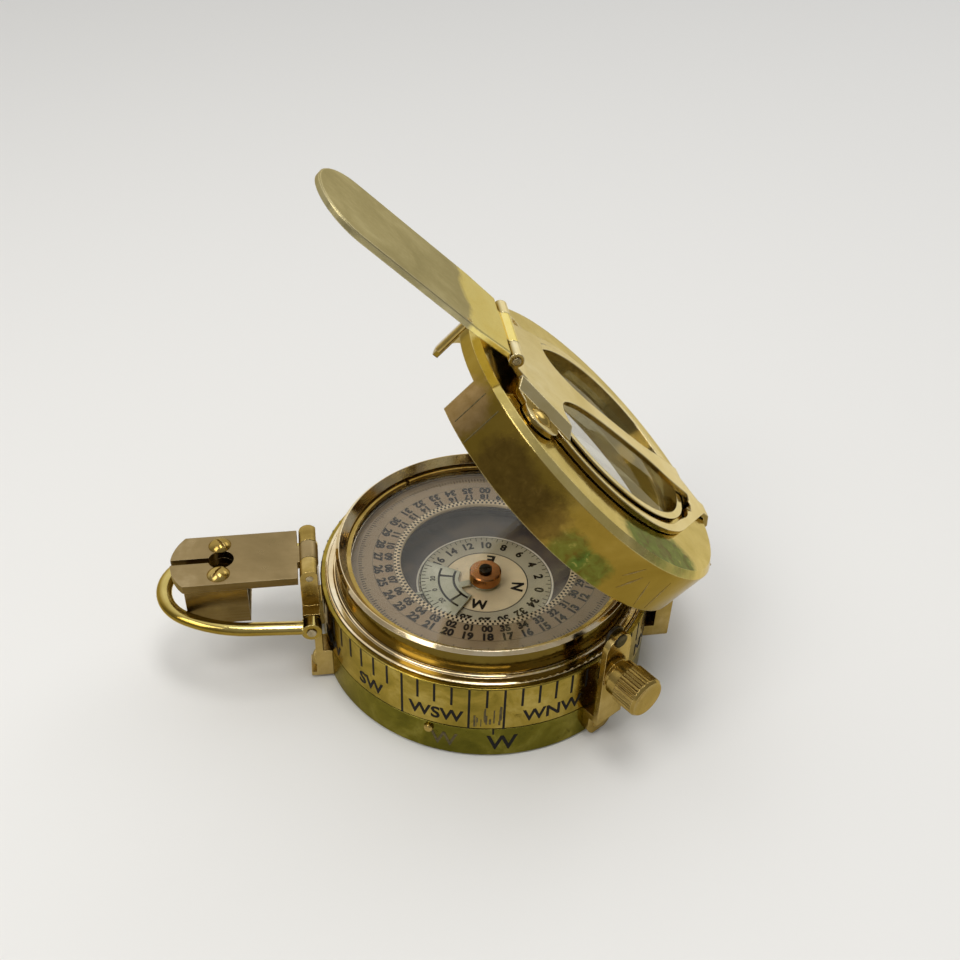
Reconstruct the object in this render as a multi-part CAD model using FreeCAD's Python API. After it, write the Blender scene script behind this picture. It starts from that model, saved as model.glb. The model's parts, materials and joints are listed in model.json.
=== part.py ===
import FreeCAD, Part
import math
import os

# Folding sighting compass with a clinometer pendulum, in millimetres.
# Origin: centre of the case's underside. +X runs to the lid hinge, -X to the eyepiece leaf, +Z is up.
# The lid pieces are drawn closed and turned open about the lid hinge as one group.

V = FreeCAD.Vector
EPS = 0.01
FAR = 200.0
PAST = 1.0

# case and turning band
BODY_R = 38.0
BASE_H = 8.9
BAND_H = 12.35
BAND_WALL = 3.1
RUN_GAP = 0.1
BAND_EDGE = 0.25
WALL = 1.6
SHELF_W = 2.2
SHELF_DROP = 6.45
FLOOR_T = 1.6
COVER_T = 1.2
COVER_RIM = 5.0
COVER_SCREW_IN = 4.0
EDGE_CHAMFER = 0.5

# bezel and glass
LEDGE_STEP = 1.1
LEDGE_T = 0.3
BEAD_R = 0.42
BEAD_SINK = 0.3
BEZEL_WALL = 2.35
BEZEL_H = 6.5
RIM_W = 0.7
RIM_SLOPE_W = 1.5
RIM_SLOPE_H = 1.9
SPIGOT = 1.2
GLASS_STEP = 6.1
GLASS_SEAT = 1.75
GLASS_T = 1.5
GLASS_LIP = 1.0
RETAINER_W = 1.0
RETAINER_T = 0.8
RETAINER_AZ = 120.0

# dial, scale ring, card and pendulum
DIAL_W = 5.3
DIAL_T = 0.9
SCALE_W = 11.2
SCALE_T = 0.8
SCALE_SKIRT_W = 1.0
SCALE_GAP = 0.3
SCALE_EDGE = 0.2
CARD_GAP = 0.4
CARD_DROP = 0.1
CARD_T = 0.5
HUB_NECK_R = 1.9
HUB_R = 3.7
HUB_H = 2.6
HUB_EDGE = 0.3
HUB_BORE_R = 1.0
HUB_FLANGE_R = 3.4
HUB_FLANGE_T = 0.5
CAP_R = 1.5
CAP_H = 0.6
CAP_SLOT_W = 0.4
MAGNET_L = 30.0
MAGNET_W = 2.4
MAGNET_T = 1.4
MAGNET_Y = 6.0
POST_R = 2.2
POST_FOOT_R = 5.0
POST_FOOT_T = 1.5
NEEDLE_R = 0.6
NEEDLE_L = 4.4
NEEDLE_POINT = 1.2
JEWEL_GAP = 0.35
PENDULUM_T = 0.35
PENDULUM_GAP = 0.4
PENDULUM_EYE_W = 1.6
PENDULUM_ARM_W = 1.8
PENDULUM_IN_R = 6.2
PENDULUM_OUT_R = 15.2
PENDULUM_HALF_DEG = 42.0
PENDULUM_AZ = 190.0
POINTER_L = 2.5
POINTER_W = 0.7

# card brake
BRAKE_AZ = -116.5
BRAKE_DROP = 1.6
BRAKE_R = 1.0
BRAKE_PROUD = 0.9
BRAKE_EDGE = 0.3
BRAKE_INSIDE = 0.6
BRAKE_TRAVEL = 0.6
SPRING_GAP = 0.2
SPRING_T = 0.4
SPRING_W = 5.0
SPRING_RISE = 2.7
SPRING_FOOT = 6.5
SPRING_SCREW_IN = 2.2
SPRING_SCREW_DEPTH = 1.0

# eyepiece bracket, leaf and prism
PLATE_GAP = 0.45
LEAF_AXIS_OFFSET = 2.2
LEAF_AXIS_RISE = 6.95
LEAF_BARREL_R = 2.1
LEAF_HALF_W = 7.9
LEAF_KNUCKLE_HALF = 2.7
KNUCKLE_GAP = 0.15
NOTCH_GAP = 0.4
HINGE_PIN_R = 0.8
PIN_CLEARANCE = 0.05
LEAF_T = 2.0
LEAF_DROP = 1.4
LEAF_EDGE_GAP = 0.4
LEAF_L = 27.6
LEAF_TIP_R = 12.0
SLOT_W = 1.6
KEYHOLE_R = 2.8
KEYHOLE_FROM_TIP = 11.0
LEAF_SCREW_X = 0.4
LEAF_SCREW_Y = 4.7
SCREW_HEAD_R = 2.5
SCREW_HEAD_H = 1.3
SCREW_SHANK_R = 1.0
SCREW_SLOT_W = 0.55
SMALL_HEAD_R = 1.9
SMALL_HEAD_H = 0.9
BLOCK_H = 7.9
CROSSBAR_HALF_W = 10.9
CROSSBAR_H = 3.8
LEG_IN_Y = 5.4
LEG_T = 1.7
FOOT_Z = 0.9
FOOT_H = 7.7
FOOT_LIP = 1.3
FOOT_LIP_H = 1.1
FOOT_DEPTH = 6.0
RIVET_R = 1.0
RIVET_HEAD_R = 2.1
RIVET_HEAD_H = 1.0
RIVET_DEPTH = 4.5
RIVET_Z = 4.0
PRISM_BOX_L = 13.4
PRISM_BOX_HALF_W = 7.2
PRISM_BOX_H = 10.4
PRISM_BOX_WALL = 1.1
PRISM_ROOF_T = 1.7
PRISM_BOX_FROM_TIP = 3.1
PRISM_CLEARANCE = 0.15

# thumb loop
LOOP_DROP = 9.8
LOOP_BACK = 0.3
LOOP_PIN_R = 1.0
LOOP_PIN_PROUD = 0.2
LOOP_CENTRE_Y = 12.9
LOOP_W = 3.4
LOOP_T = 2.6
LOOP_STRAIGHT = 13.0
LOOP_L = 32.2
LOOP_TIP_R = 10.5
LOOP_EYE_R = 2.2
LOOP_EYE_IN = 0.15
LOOP_WELD = 0.4
LOOP_RISE_DEG = 4.5

# lid
LID_STEP = 0.5
LID_SEAT_GAP = 0.3
LID_WALL = 1.3
LID_H = 12.3
LID_TOP_T = 1.3
LID_BEVEL = 1.3
LID_NOTCH_HALF_W = 9.9
LID_NOTCH_H = 8.3
LID_OPEN_DEG = 43.3
WINDOW_STEP = 13.5
WINDOW_X = 0.5
LENS_TUBE_W = 1.6
LENS_TUBE_RISE = 2.0
LENS_FLANGE_W = 2.0
LENS_FLANGE_T = 1.0
LENS_LIP = 0.9
LENS_LIP_T = 0.7
LENS_T = 1.6
LENS_CROWN = 0.35

# lid hinge
HINGE_X_OFFSET = 2.2
HINGE_DROP = 5.75
HINGE_BARREL_R = 1.9
HINGE_HALF_W = 12.0
HINGE_KNUCKLE_HALF = 4.1
HINGE_PIN_PROUD = 0.4
BLOCK_Z = 4.6
BLOCK_CORNER = 1.8
BLOCK_TOP_DROP = 2.2
BLOCK_DEPTH = 8.0
ARM_T = 1.2
ARM_GAP = 0.45
ARM_BOTTOM_GAP = 0.55
ARM_TOP_RISE = 8.45
ARM_PAD_HALF_W = 7.0
ARM_PAD_DEPTH = 3.0
ARM_PAD_RISE = 2.45
ARM_RIVET_Y = 4.6
ARM_RIVET_RISE = 5.45
BLOCK_RIVET_Y = 8.0
BLOCK_RIVET_Z = 7.2

# sight frame on the lid: low arms round the lens, a raised root and bar across it
FRAME_T = 1.1
FRAME_SEAT = 0.3
FRAME_RISE = 2.2
FRAME_GAP = 0.9
FRAME_ARM_W = 2.0
APEX_IN = 4.3
APEX_R = 2.8
APEX_FOOT_R = 2.0
TAB_HALF_W = 2.2
TAB_GAP = 0.15
TAB_T = 1.0
TAB_DROP = 2.4
ROOT_OUT = 6.5
ROOT_IN = 9.5
ROOT_HALF_W = 10.5
ROOT_SHOULDER_OUT = 4.8
ROOT_SHOULDER_IN = 8.5
STEP_TURN_DEG = 24.5
STEP_OUT = 1.95
STEP_W = 1.3
BAR_MARGIN = 0.94
RAMP_L = 2.8
RAMP_START = 0.2
SLOT_FROM_DEG = 36.0
SLOT_TO_DEG = 132.0
SLOT_END = (1.07, 0.32)
SLOT_BAR_EDGE = ((-0.78, 0.52), (-0.74, 0.33), (-0.56, 0.185), (-0.22, 0.107), (0.17, 0.097),
                 (0.55, 0.12), (0.86, 0.18), (1.075, 0.24))
EAR_R = 4.4
FRAME_PAD_R = 2.1
FRAME_SCREW_REACH = 6.3
FRAME_SCREW_DEG = 145.0

# sight vane
VANE_AXIS_IN = 4.3
VANE_AXIS_RISE = 1.45
VANE_BARREL_R = 1.55
VANE_KNUCKLE_HALF = 5.4
VANE_LUG_END = 10.4
VANE_LUG_DROP = 0.9
VANE_T = 1.3
VANE_EDGE = 0.25
VANE_L = 48.6
VANE_ROOT_GAP = 0.5
VANE_ROOT_HALF_W = 10.4
VANE_HALF_W = 11.5
VANE_TIP_HALF_W = 11.3
VANE_TIP_L = 9.6
VANE_ROOT_L = 8.0
STUD_OUT = 13.3
STUD_Y = -10.5
STUD_R = 0.65
STUD_L = 8.6

# lid catch strap and the band's clamp screw
STRAP_AZ = -58.5
STRAP_HALF_W = 3.6
STRAP_T = 1.4
STRAP_STANDOFF = 2.9
STRAP_SEAT_IN = 1.0
STRAP_TOP_RISE = 10.15
STRAP_JOG_Z = 7.0
CATCH_RISE = 9.0
CATCH_R = 2.4
CATCH_END_R = 1.6
CATCH_SHANK_R = 1.1
CATCH_IN = 0.6
CATCH_OUT = 0.4
CLAMP_RISE = 12.4
CLAMP_SHANK_R = 1.25
CLAMP_TIP_GAP = 0.15
CLAMP_BOSS_R = 3.3
CLAMP_BOSS_H = 0.9
KNOB_R = 4.5
KNOB_L = 8.0
KNOB_GAP = 0.3
KNOB_NECK_R = 4.1
KNOB_NECK_L = 2.2
KNOB_EDGE_L = 0.7
KNOB_EDGE_W = 0.5
KNOB_DISH_R = 16.0
KNOB_DISH_DEPTH = 0.5
KNURLS = 36
KNURL_DEPTH = 0.3

# worked-out sizes of the case, bezel and dial
SLEEVE_R = BODY_R - BAND_WALL
SLEEVE_IN = SLEEVE_R - WALL
WELL_R = SLEEVE_IN - SHELF_W
COVER_R = BODY_R - COVER_RIM
FLOOR_TOP = COVER_T + FLOOR_T
SLEEVE_TOP = BASE_H + BAND_H + 2 * RUN_GAP
SHELF_Z = SLEEVE_TOP - SHELF_DROP
LEDGE_R = BODY_R - LEDGE_STEP
LEDGE_TOP = SLEEVE_TOP + LEDGE_T
GLASS_R = BODY_R - GLASS_STEP
GLASS_Z = LEDGE_TOP + GLASS_SEAT
BEZEL_R = GLASS_R + BEZEL_WALL
BEZEL_TOP = LEDGE_TOP + BEZEL_H
DIAL_IN_R = GLASS_R - DIAL_W
SCALE_R = GLASS_R - GLASS_LIP - PIN_CLEARANCE
SCALE_IN_R = SCALE_R - SCALE_W
SCALE_TOP = GLASS_Z - SCALE_GAP
CARD_R = DIAL_IN_R - CARD_GAP
CARD_Z = SHELF_Z + DIAL_T - CARD_T - CARD_DROP
CARD_TOP = CARD_Z + CARD_T
PENDULUM_Z = CARD_TOP + PENDULUM_GAP
HUB_Z = PENDULUM_Z + PENDULUM_T + PENDULUM_GAP
HUB_TOP = HUB_Z + HUB_H
NEEDLE_TOP = HUB_Z + NEEDLE_POINT
BRAKE_Z = BASE_H - BRAKE_DROP
SPRING_TOP = BRAKE_Z + SPRING_RISE
SPRING_X = WELL_R - BRAKE_INSIDE - BRAKE_TRAVEL - SPRING_GAP
SPRING_SCREW_X = SPRING_X - SPRING_FOOT + SPRING_SCREW_IN

# worked-out places of the eyepiece end
PLATE_X = BODY_R + PLATE_GAP
RIVET_IN_X = BODY_R - RIVET_DEPTH
LEAF_AXIS_X = -(BODY_R + LEAF_AXIS_OFFSET)
LEAF_AXIS_Z = SLEEVE_TOP + LEAF_AXIS_RISE
LEAF_BOTTOM = LEAF_AXIS_Z - LEAF_DROP
LEAF_TOP = LEAF_BOTTOM + LEAF_T
LEAF_START_X = LEAF_AXIS_X - LEAF_BARREL_R - LEAF_EDGE_GAP
LEAF_TIP_X = LEAF_START_X - LEAF_L
BLOCK_BOTTOM = LEAF_AXIS_Z - BLOCK_H
BLOCK_OUT_X = LEAF_AXIS_X - LEAF_BARREL_R
LEG_OUT_X = -(PLATE_X + LEG_T)
RIVET_Y = (LEG_IN_Y + CROSSBAR_HALF_W) / 2
KEYHOLE_X = LEAF_TIP_X + KEYHOLE_FROM_TIP
BOX_OUT_X = LEAF_TIP_X + PRISM_BOX_FROM_TIP
BOX_IN_X = BOX_OUT_X + PRISM_BOX_L
BOX_BOTTOM = LEAF_BOTTOM - PRISM_BOX_H
LOOP_X = LEAF_AXIS_X - LOOP_BACK
LOOP_Z = LEAF_AXIS_Z - LOOP_DROP

# worked-out places of the lid, its hinge, frame and vane, with the lid closed
LID_R = BODY_R - LID_STEP
LID_SEAT = LEDGE_TOP + LID_SEAT_GAP
LID_TOP = LID_SEAT + LID_H
LID_UNDER = LID_TOP - LID_TOP_T
WINDOW_R = LID_R - WINDOW_STEP
LENS_BORE_R = WINDOW_R - LENS_TUBE_W
LENS_LOW = LID_UNDER - LENS_FLANGE_T
HINGE_X = BODY_R + HINGE_X_OFFSET
HINGE_Z = LID_SEAT - HINGE_DROP
BLOCK_TOP = HINGE_Z - BLOCK_TOP_DROP
ARM_X = BODY_R + ARM_GAP
ARM_BOTTOM = HINGE_Z + HINGE_BARREL_R + ARM_BOTTOM_GAP
ARM_TOP = LID_SEAT + ARM_TOP_RISE
ARM_PAD_Z = LID_SEAT + ARM_PAD_RISE
ARM_RIVET_Z = LID_SEAT + ARM_RIVET_RISE
HINGE_OUT_X = HINGE_X + HINGE_BARREL_R
LOW_Z = LID_TOP + FRAME_SEAT
LOW_TOP = LOW_Z + FRAME_T
FRAME_Z = LID_TOP + FRAME_RISE
FRAME_TOP = FRAME_Z + FRAME_T
SLOT_R = WINDOW_R + FRAME_GAP
FRAME_R = SLOT_R + FRAME_ARM_W
APEX_X = LID_R - APEX_IN
ROOT_X = WINDOW_X - WINDOW_R - ROOT_OUT
ROOT_END_X = WINDOW_X - WINDOW_R + ROOT_IN
SHOULDER_X = WINDOW_X - WINDOW_R - ROOT_SHOULDER_OUT
ROOT_SHOULDER_Y = WINDOW_R - ROOT_SHOULDER_IN
RAMP_X = WINDOW_X + WINDOW_R + RAMP_START
BAR_STRIP = WINDOW_R * SLOT_BAR_EDGE[-1][1] + BAR_MARGIN
STEP_FROM = WINDOW_R - STEP_OUT
TAB_X = LID_R + TAB_GAP
VANE_AXIS_X = VANE_AXIS_IN - LID_R
VANE_AXIS_Z = FRAME_TOP + VANE_AXIS_RISE
VANE_Z = VANE_AXIS_Z - VANE_T / 2
VANE_ROOT_X = VANE_AXIS_X - VANE_BARREL_R - VANE_ROOT_GAP
VANE_TIP_X = VANE_AXIS_X - VANE_L
STUD_X = VANE_AXIS_X - STUD_OUT

# worked-out places of the catch strap and clamp screw
STRAP_R = BODY_R + STRAP_STANDOFF
STRAP_SEAT = STRAP_R - STRAP_SEAT_IN
STRAP_OUT = STRAP_R + STRAP_T
STRAP_TOP = LID_SEAT + STRAP_TOP_RISE
CATCH_Z = LID_SEAT + CATCH_RISE
CLAMP_Z = BASE_H + CLAMP_RISE
KNOB_START = STRAP_OUT + CLAMP_BOSS_H + KNOB_GAP


def box(x0, x1, y0, y1, z0, z1):
    return Part.makeBox(x1 - x0, y1 - y0, z1 - z0, V(x0, y0, z0))


def disc(r, z0, z1, x=0.0, y=0.0):
    return Part.makeCylinder(r, z1 - z0, V(x, y, z0))


def ring(r_in, r_out, z0, z1, x=0.0, y=0.0):
    return disc(r_out, z0, z1, x, y).cut(disc(r_in, z0 - PAST, z1 + PAST, x, y))


def rod_y(r, x, z, y0, y1):
    return Part.makeCylinder(r, y1 - y0, V(x, y0, z), V(0, 1, 0))


def rod_x(r, x0, x1, y, z):
    return Part.makeCylinder(r, x1 - x0, V(x0, y, z), V(1, 0, 0))


def dome_x(r, x, y, z, height):
    """A low domed head whose flat back lies at x; a negative height faces -X."""
    big = (r * r + height * height) / (2 * abs(height))
    side = math.copysign(1, height)
    ball = Part.makeSphere(big, V(x + height - side * big, y, z))
    keep = rod_x(r + PAST, min(x, x + 2 * height), max(x, x + 2 * height), y, z)
    return ball.common(keep)


def dome_z(r, x, y, z, height):
    """A low domed head whose flat back lies at z; a negative height faces down."""
    big = (r * r + height * height) / (2 * abs(height))
    side = math.copysign(1, height)
    ball = Part.makeSphere(big, V(x, y, z + height - side * big))
    return ball.common(disc(r + PAST, min(z, z + 2 * height), max(z, z + 2 * height), x, y))


def spun(points):
    """The solid swept by a closed outline of (radius, height) points turned about Z."""
    wire = Part.makePolygon([V(r, 0, z) for r, z in points + points[:1]])
    return Part.Face(wire).revolve(V(0, 0, 0), V(0, 0, 1), 360)


def fuse(*shapes):
    return shapes[0].multiFuse(list(shapes[1:])).removeSplitter()


def turned(shape, azimuth):
    """A piece drawn along +X, turned about Z to its azimuth in degrees."""
    out = shape.copy()
    out.rotate(V(0, 0, 0), V(0, 0, 1), azimuth)
    return out


def opened(shape):
    """A piece of the lid, drawn closed, turned open about the lid hinge."""
    out = shape.copy()
    out.rotate(V(HINGE_X, 0, HINGE_Z), V(0, 1, 0), LID_OPEN_DEG)
    return out


def teardrop(x, r, tip_x, tip_r, z0, z1):
    """A round plate drawn out to a rounded tip towards +X."""
    reach = tip_x - x
    cos_a = (r - tip_r) / reach
    sin_a = math.sqrt(1 - cos_a * cos_a)
    on_big = V(x + r * cos_a, r * sin_a, z0)
    on_tip = V(tip_x + tip_r * cos_a, tip_r * sin_a, z0)
    mirror_big = V(on_big.x, -on_big.y, z0)
    mirror_tip = V(on_tip.x, -on_tip.y, z0)
    edges = [
        Part.Arc(mirror_big, V(x - r, 0, z0), on_big).toShape(),
        Part.makeLine(on_big, on_tip),
        Part.Arc(on_tip, V(tip_x + tip_r, 0, z0), mirror_tip).toShape(),
        Part.makeLine(mirror_tip, mirror_big),
    ]
    return Part.Face(Part.Wire(edges)).extrude(V(0, 0, z1 - z0))


def both_sides(shape):
    """A piece and its mirror image across the XZ plane."""
    return [shape, shape.mirror(V(0, 0, 0), V(0, 1, 0))]


def base_case():
    outline = [
        (0, COVER_T), (COVER_R, COVER_T), (COVER_R, 0), (BODY_R - EDGE_CHAMFER, 0),
        (BODY_R, EDGE_CHAMFER), (BODY_R, BASE_H), (SLEEVE_R, BASE_H), (SLEEVE_R, SLEEVE_TOP),
        (SLEEVE_IN, SLEEVE_TOP), (SLEEVE_IN, SHELF_Z), (WELL_R, SHELF_Z), (WELL_R, FLOOR_TOP),
        (0, FLOOR_TOP),
    ]
    case = spun(outline)
    cuts = [turned(rod_x(BRAKE_R + PIN_CLEARANCE, WELL_R - PAST, BODY_R + PAST, 0, BRAKE_Z), BRAKE_AZ)]
    cuts += [disc(SCREW_SHANK_R, COVER_T - PAST, FLOOR_TOP + PAST, x, y) for x, y in cover_screw_places()]
    cuts += bracket_rivet_shanks()
    cuts += block_rivet_shanks()
    cuts += [turned(strap_rivet_shank(), STRAP_AZ)]
    cuts += [turned(disc(SCREW_SHANK_R, FLOOR_TOP - PAST, FLOOR_TOP + PAST, SPRING_SCREW_X), BRAKE_AZ)]
    return case.cut(cuts)


def cover_screw_places():
    reach = COVER_R - COVER_SCREW_IN
    turns = [math.radians(45 + 90 * n) for n in range(4)]
    return [(reach * math.cos(turn), reach * math.sin(turn)) for turn in turns]


def cover_screw(x, y):
    head = Part.makeCone(SMALL_HEAD_R, SCREW_SHANK_R, SMALL_HEAD_H, V(x, y, 0))
    half_slot = SCREW_SLOT_W / 2
    slot = box(x - SCREW_HEAD_R, x + SCREW_HEAD_R, y - half_slot, y + half_slot, -PAST, SMALL_HEAD_H / 2)
    return fuse(head, disc(SCREW_SHANK_R, SMALL_HEAD_H / 2, FLOOR_TOP, x, y)).cut(slot)


def bottom_cover():
    plate = disc(COVER_R - PIN_CLEARANCE, 0, COVER_T)
    holes = [disc(SCREW_SHANK_R, -PAST, COVER_T + PAST, x, y) for x, y in cover_screw_places()]
    sinks = [
        Part.makeCone(SMALL_HEAD_R, SCREW_SHANK_R, SMALL_HEAD_H, V(x, y, 0))
        for x, y in cover_screw_places()
    ]
    return plate.cut(holes + sinks)


def bearing_ring():
    low = BASE_H + RUN_GAP
    high = low + BAND_H
    inner = SLEEVE_R + RUN_GAP
    return spun([
        (inner, low), (BODY_R - BAND_EDGE, low), (BODY_R, low + BAND_EDGE), (BODY_R, high - BAND_EDGE),
        (BODY_R - BAND_EDGE, high), (inner, high),
    ])


def bezel_ring():
    inner = GLASS_R + PIN_CLEARANCE
    lip = GLASS_R - GLASS_LIP
    slope_r = inner + RIM_SLOPE_W
    wall = spun([
        (lip, SLEEVE_TOP), (LEDGE_R, SLEEVE_TOP), (LEDGE_R, LEDGE_TOP), (BEZEL_R, LEDGE_TOP),
        (BEZEL_R, BEZEL_TOP - RIM_W), (BEZEL_R - RIM_W, BEZEL_TOP), (slope_r, BEZEL_TOP),
        (inner, BEZEL_TOP - RIM_SLOPE_H), (inner, GLASS_Z), (lip, GLASS_Z),
    ])
    outer_bead = Part.makeTorus(LEDGE_R - BEAD_R, BEAD_R, V(0, 0, LEDGE_TOP - BEAD_SINK))
    inner_bead = Part.makeTorus(BEZEL_R + BEAD_R, BEAD_R, V(0, 0, LEDGE_TOP))
    above = ring(BEZEL_R - BEAD_R / 2, LEDGE_R + PAST, LEDGE_TOP - EPS, LEDGE_TOP + PAST)
    spigot = ring(SLEEVE_IN - SPIGOT, SLEEVE_IN - PIN_CLEARANCE, SLEEVE_TOP - SPIGOT, SLEEVE_TOP + EPS)
    return fuse(wall, outer_bead.common(above), inner_bead.common(above), spigot)


def glass_retainer():
    start = GLASS_Z + GLASS_T
    end = start + RETAINER_T
    whole = ring(GLASS_R - RETAINER_W, GLASS_R, start, end)
    gap = box(0, GLASS_R + PAST, -RETAINER_W / 2, RETAINER_W / 2, start - PAST, end + PAST)
    return whole.cut(turned(gap, RETAINER_AZ))


def dial_ring():
    return ring(DIAL_IN_R, SLEEVE_IN - PIN_CLEARANCE, SHELF_Z, SHELF_Z + DIAL_T)


def scale_ring():
    skirt_in = SCALE_R - SCALE_SKIRT_W
    under = SCALE_TOP - SCALE_T
    foot = SHELF_Z + DIAL_T
    return spun([
        (SCALE_IN_R, under), (SCALE_IN_R, SCALE_TOP - SCALE_EDGE), (SCALE_IN_R + SCALE_EDGE, SCALE_TOP),
        (SCALE_R, SCALE_TOP), (SCALE_R, foot), (skirt_in, foot), (skirt_in, under),
    ])


def pivot_post():
    foot = disc(POST_FOOT_R, FLOOR_TOP, FLOOR_TOP + POST_FOOT_T)
    needle_start = NEEDLE_TOP - NEEDLE_L
    stem = disc(POST_R, FLOOR_TOP, needle_start)
    needle = disc(NEEDLE_R, needle_start, NEEDLE_TOP - NEEDLE_POINT)
    point = Part.makeCone(NEEDLE_R, NEEDLE_R / 6, NEEDLE_POINT, V(0, 0, NEEDLE_TOP - NEEDLE_POINT))
    return fuse(foot, stem, needle, point)


def compass_card():
    return ring(HUB_NECK_R, CARD_R, CARD_Z, CARD_TOP)


def card_hub():
    flange = disc(HUB_FLANGE_R, CARD_Z - HUB_FLANGE_T, CARD_Z)
    neck = disc(HUB_NECK_R, CARD_Z, HUB_Z)
    drum = disc(HUB_R, HUB_Z, HUB_TOP)
    drum = drum.makeChamfer(HUB_EDGE, [drum.Edges[0]])
    bore = disc(HUB_BORE_R, CARD_Z - HUB_FLANGE_T - PAST, NEEDLE_TOP + JEWEL_GAP)
    return fuse(flange, neck, drum).cut(bore)


def hub_cap():
    cap = disc(CAP_R, HUB_TOP, HUB_TOP + CAP_H)
    slot = box(-FAR, FAR, -CAP_SLOT_W / 2, CAP_SLOT_W / 2, HUB_TOP + CAP_H / 2, HUB_TOP + FAR)
    return cap.cut(slot)


def card_magnets():
    bar = box(-MAGNET_L / 2, MAGNET_L / 2, MAGNET_Y - MAGNET_W / 2, MAGNET_Y + MAGNET_W / 2,
              CARD_Z - MAGNET_T, CARD_Z)
    return both_sides(bar)


def clinometer_pendulum():
    top = PENDULUM_Z + PENDULUM_T
    hub = disc(HUB_NECK_R + PENDULUM_EYE_W, PENDULUM_Z, top)
    arm = box(0, PENDULUM_OUT_R - PAST, -PENDULUM_ARM_W / 2, PENDULUM_ARM_W / 2, PENDULUM_Z, top)
    weight = Part.makeCylinder(PENDULUM_OUT_R, PENDULUM_T, V(0, 0, PENDULUM_Z), V(0, 0, 1),
                               2 * PENDULUM_HALF_DEG)
    weight.rotate(V(0, 0, 0), V(0, 0, 1), -PENDULUM_HALF_DEG)
    weight = weight.cut(disc(PENDULUM_IN_R, PENDULUM_Z - PAST, top + PAST))
    half = POINTER_W / 2
    tip = box(PENDULUM_OUT_R - PAST, PENDULUM_OUT_R + POINTER_L, -half, half, PENDULUM_Z, top)
    whole = fuse(hub, arm, weight, tip)
    return turned(whole.cut(disc(HUB_NECK_R + RUN_GAP, PENDULUM_Z - PAST, top + PAST)), PENDULUM_AZ)


def brake_button():
    out = BODY_R + BRAKE_PROUD - BRAKE_EDGE
    stem = rod_x(BRAKE_R, WELL_R - BRAKE_INSIDE, out, 0, BRAKE_Z)
    end = Part.makeCone(BRAKE_R, BRAKE_R - BRAKE_EDGE, BRAKE_EDGE, V(out, 0, BRAKE_Z), V(1, 0, 0))
    return turned(fuse(stem, end), BRAKE_AZ)


def brake_spring():
    half = SPRING_W / 2
    strip = box(SPRING_X - SPRING_T, SPRING_X, -half, half, FLOOR_TOP, SPRING_TOP)
    foot = box(SPRING_X - SPRING_FOOT, SPRING_X, -half, half, FLOOR_TOP, FLOOR_TOP + SPRING_T)
    hole = disc(SCREW_SHANK_R, FLOOR_TOP - PAST, FLOOR_TOP + PAST, SPRING_SCREW_X)
    return turned(fuse(strip, foot).cut(hole), BRAKE_AZ)


def spring_screw():
    seat = FLOOR_TOP + SPRING_T
    head = dome_z(SMALL_HEAD_R, SPRING_SCREW_X, 0, seat, SMALL_HEAD_H)
    slot = box(0, FAR, -SCREW_SLOT_W / 2, SCREW_SLOT_W / 2, seat + SMALL_HEAD_H / 2, FAR)
    shank = disc(SCREW_SHANK_R, FLOOR_TOP - SPRING_SCREW_DEPTH, seat, SPRING_SCREW_X)
    return turned(fuse(head.cut(slot), shank), BRAKE_AZ)


def bracket_rivet_shanks():
    shank = rod_x(RIVET_R, LEG_OUT_X, -RIVET_IN_X, RIVET_Y, RIVET_Z)
    return both_sides(shank)


def bracket_rivets():
    head = dome_x(RIVET_HEAD_R, LEG_OUT_X, RIVET_Y, RIVET_Z, -RIVET_HEAD_H)
    shank = rod_x(RIVET_R, LEG_OUT_X, -RIVET_IN_X, RIVET_Y, RIVET_Z)
    return both_sides(fuse(head, shank))


def eyepiece_bracket():
    block = box(BLOCK_OUT_X, -PLATE_X, -LEAF_HALF_W, LEAF_HALF_W, BLOCK_BOTTOM, LEAF_AXIS_Z)
    barrel = rod_y(LEAF_BARREL_R, LEAF_AXIS_X, LEAF_AXIS_Z, -LEAF_HALF_W, LEAF_HALF_W)
    barrel = barrel.cut(box(-PLATE_X + EPS, 0, -LEAF_HALF_W - PAST, LEAF_HALF_W + PAST, 0, FAR))
    notch_half = LEAF_KNUCKLE_HALF + KNUCKLE_GAP
    notch = box(BLOCK_OUT_X - PAST, -PLATE_X + PAST, -notch_half, notch_half,
                LEAF_AXIS_Z - LEAF_BARREL_R - NOTCH_GAP, LEAF_AXIS_Z + LEAF_BARREL_R + PAST)
    head = fuse(block, barrel).cut(notch)
    crossbar = box(BLOCK_OUT_X, -PLATE_X, -CROSSBAR_HALF_W, CROSSBAR_HALF_W,
                   BLOCK_BOTTOM - CROSSBAR_H, BLOCK_BOTTOM)
    legs = []
    for side in (-1, 1):
        low_y, high_y = sorted((side * LEG_IN_Y, side * CROSSBAR_HALF_W))
        legs.append(box(LEG_OUT_X, -PLATE_X, low_y, high_y, FOOT_Z, BLOCK_BOTTOM - CROSSBAR_H))
        foot = box(LEG_OUT_X, FOOT_DEPTH - BODY_R, low_y, high_y, FOOT_Z, FOOT_Z + FOOT_H)
        legs.append(foot.cut(disc(BODY_R, -PAST, BASE_H + PAST)))
        legs.append(box(LEG_OUT_X - FOOT_LIP, LEG_OUT_X + EPS, low_y, high_y, FOOT_Z, FOOT_Z + FOOT_LIP_H))
    bracket = fuse(head, crossbar, *legs)
    cuts = bracket_rivet_shanks()
    cuts.append(rod_y(HINGE_PIN_R, LEAF_AXIS_X, LEAF_AXIS_Z, -LEAF_HALF_W - PAST, LEAF_HALF_W + PAST))
    cuts.append(rod_y(LOOP_PIN_R, LOOP_X, LOOP_Z, -CROSSBAR_HALF_W - PAST, CROSSBAR_HALF_W + PAST))
    return bracket.cut(cuts)


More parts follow.
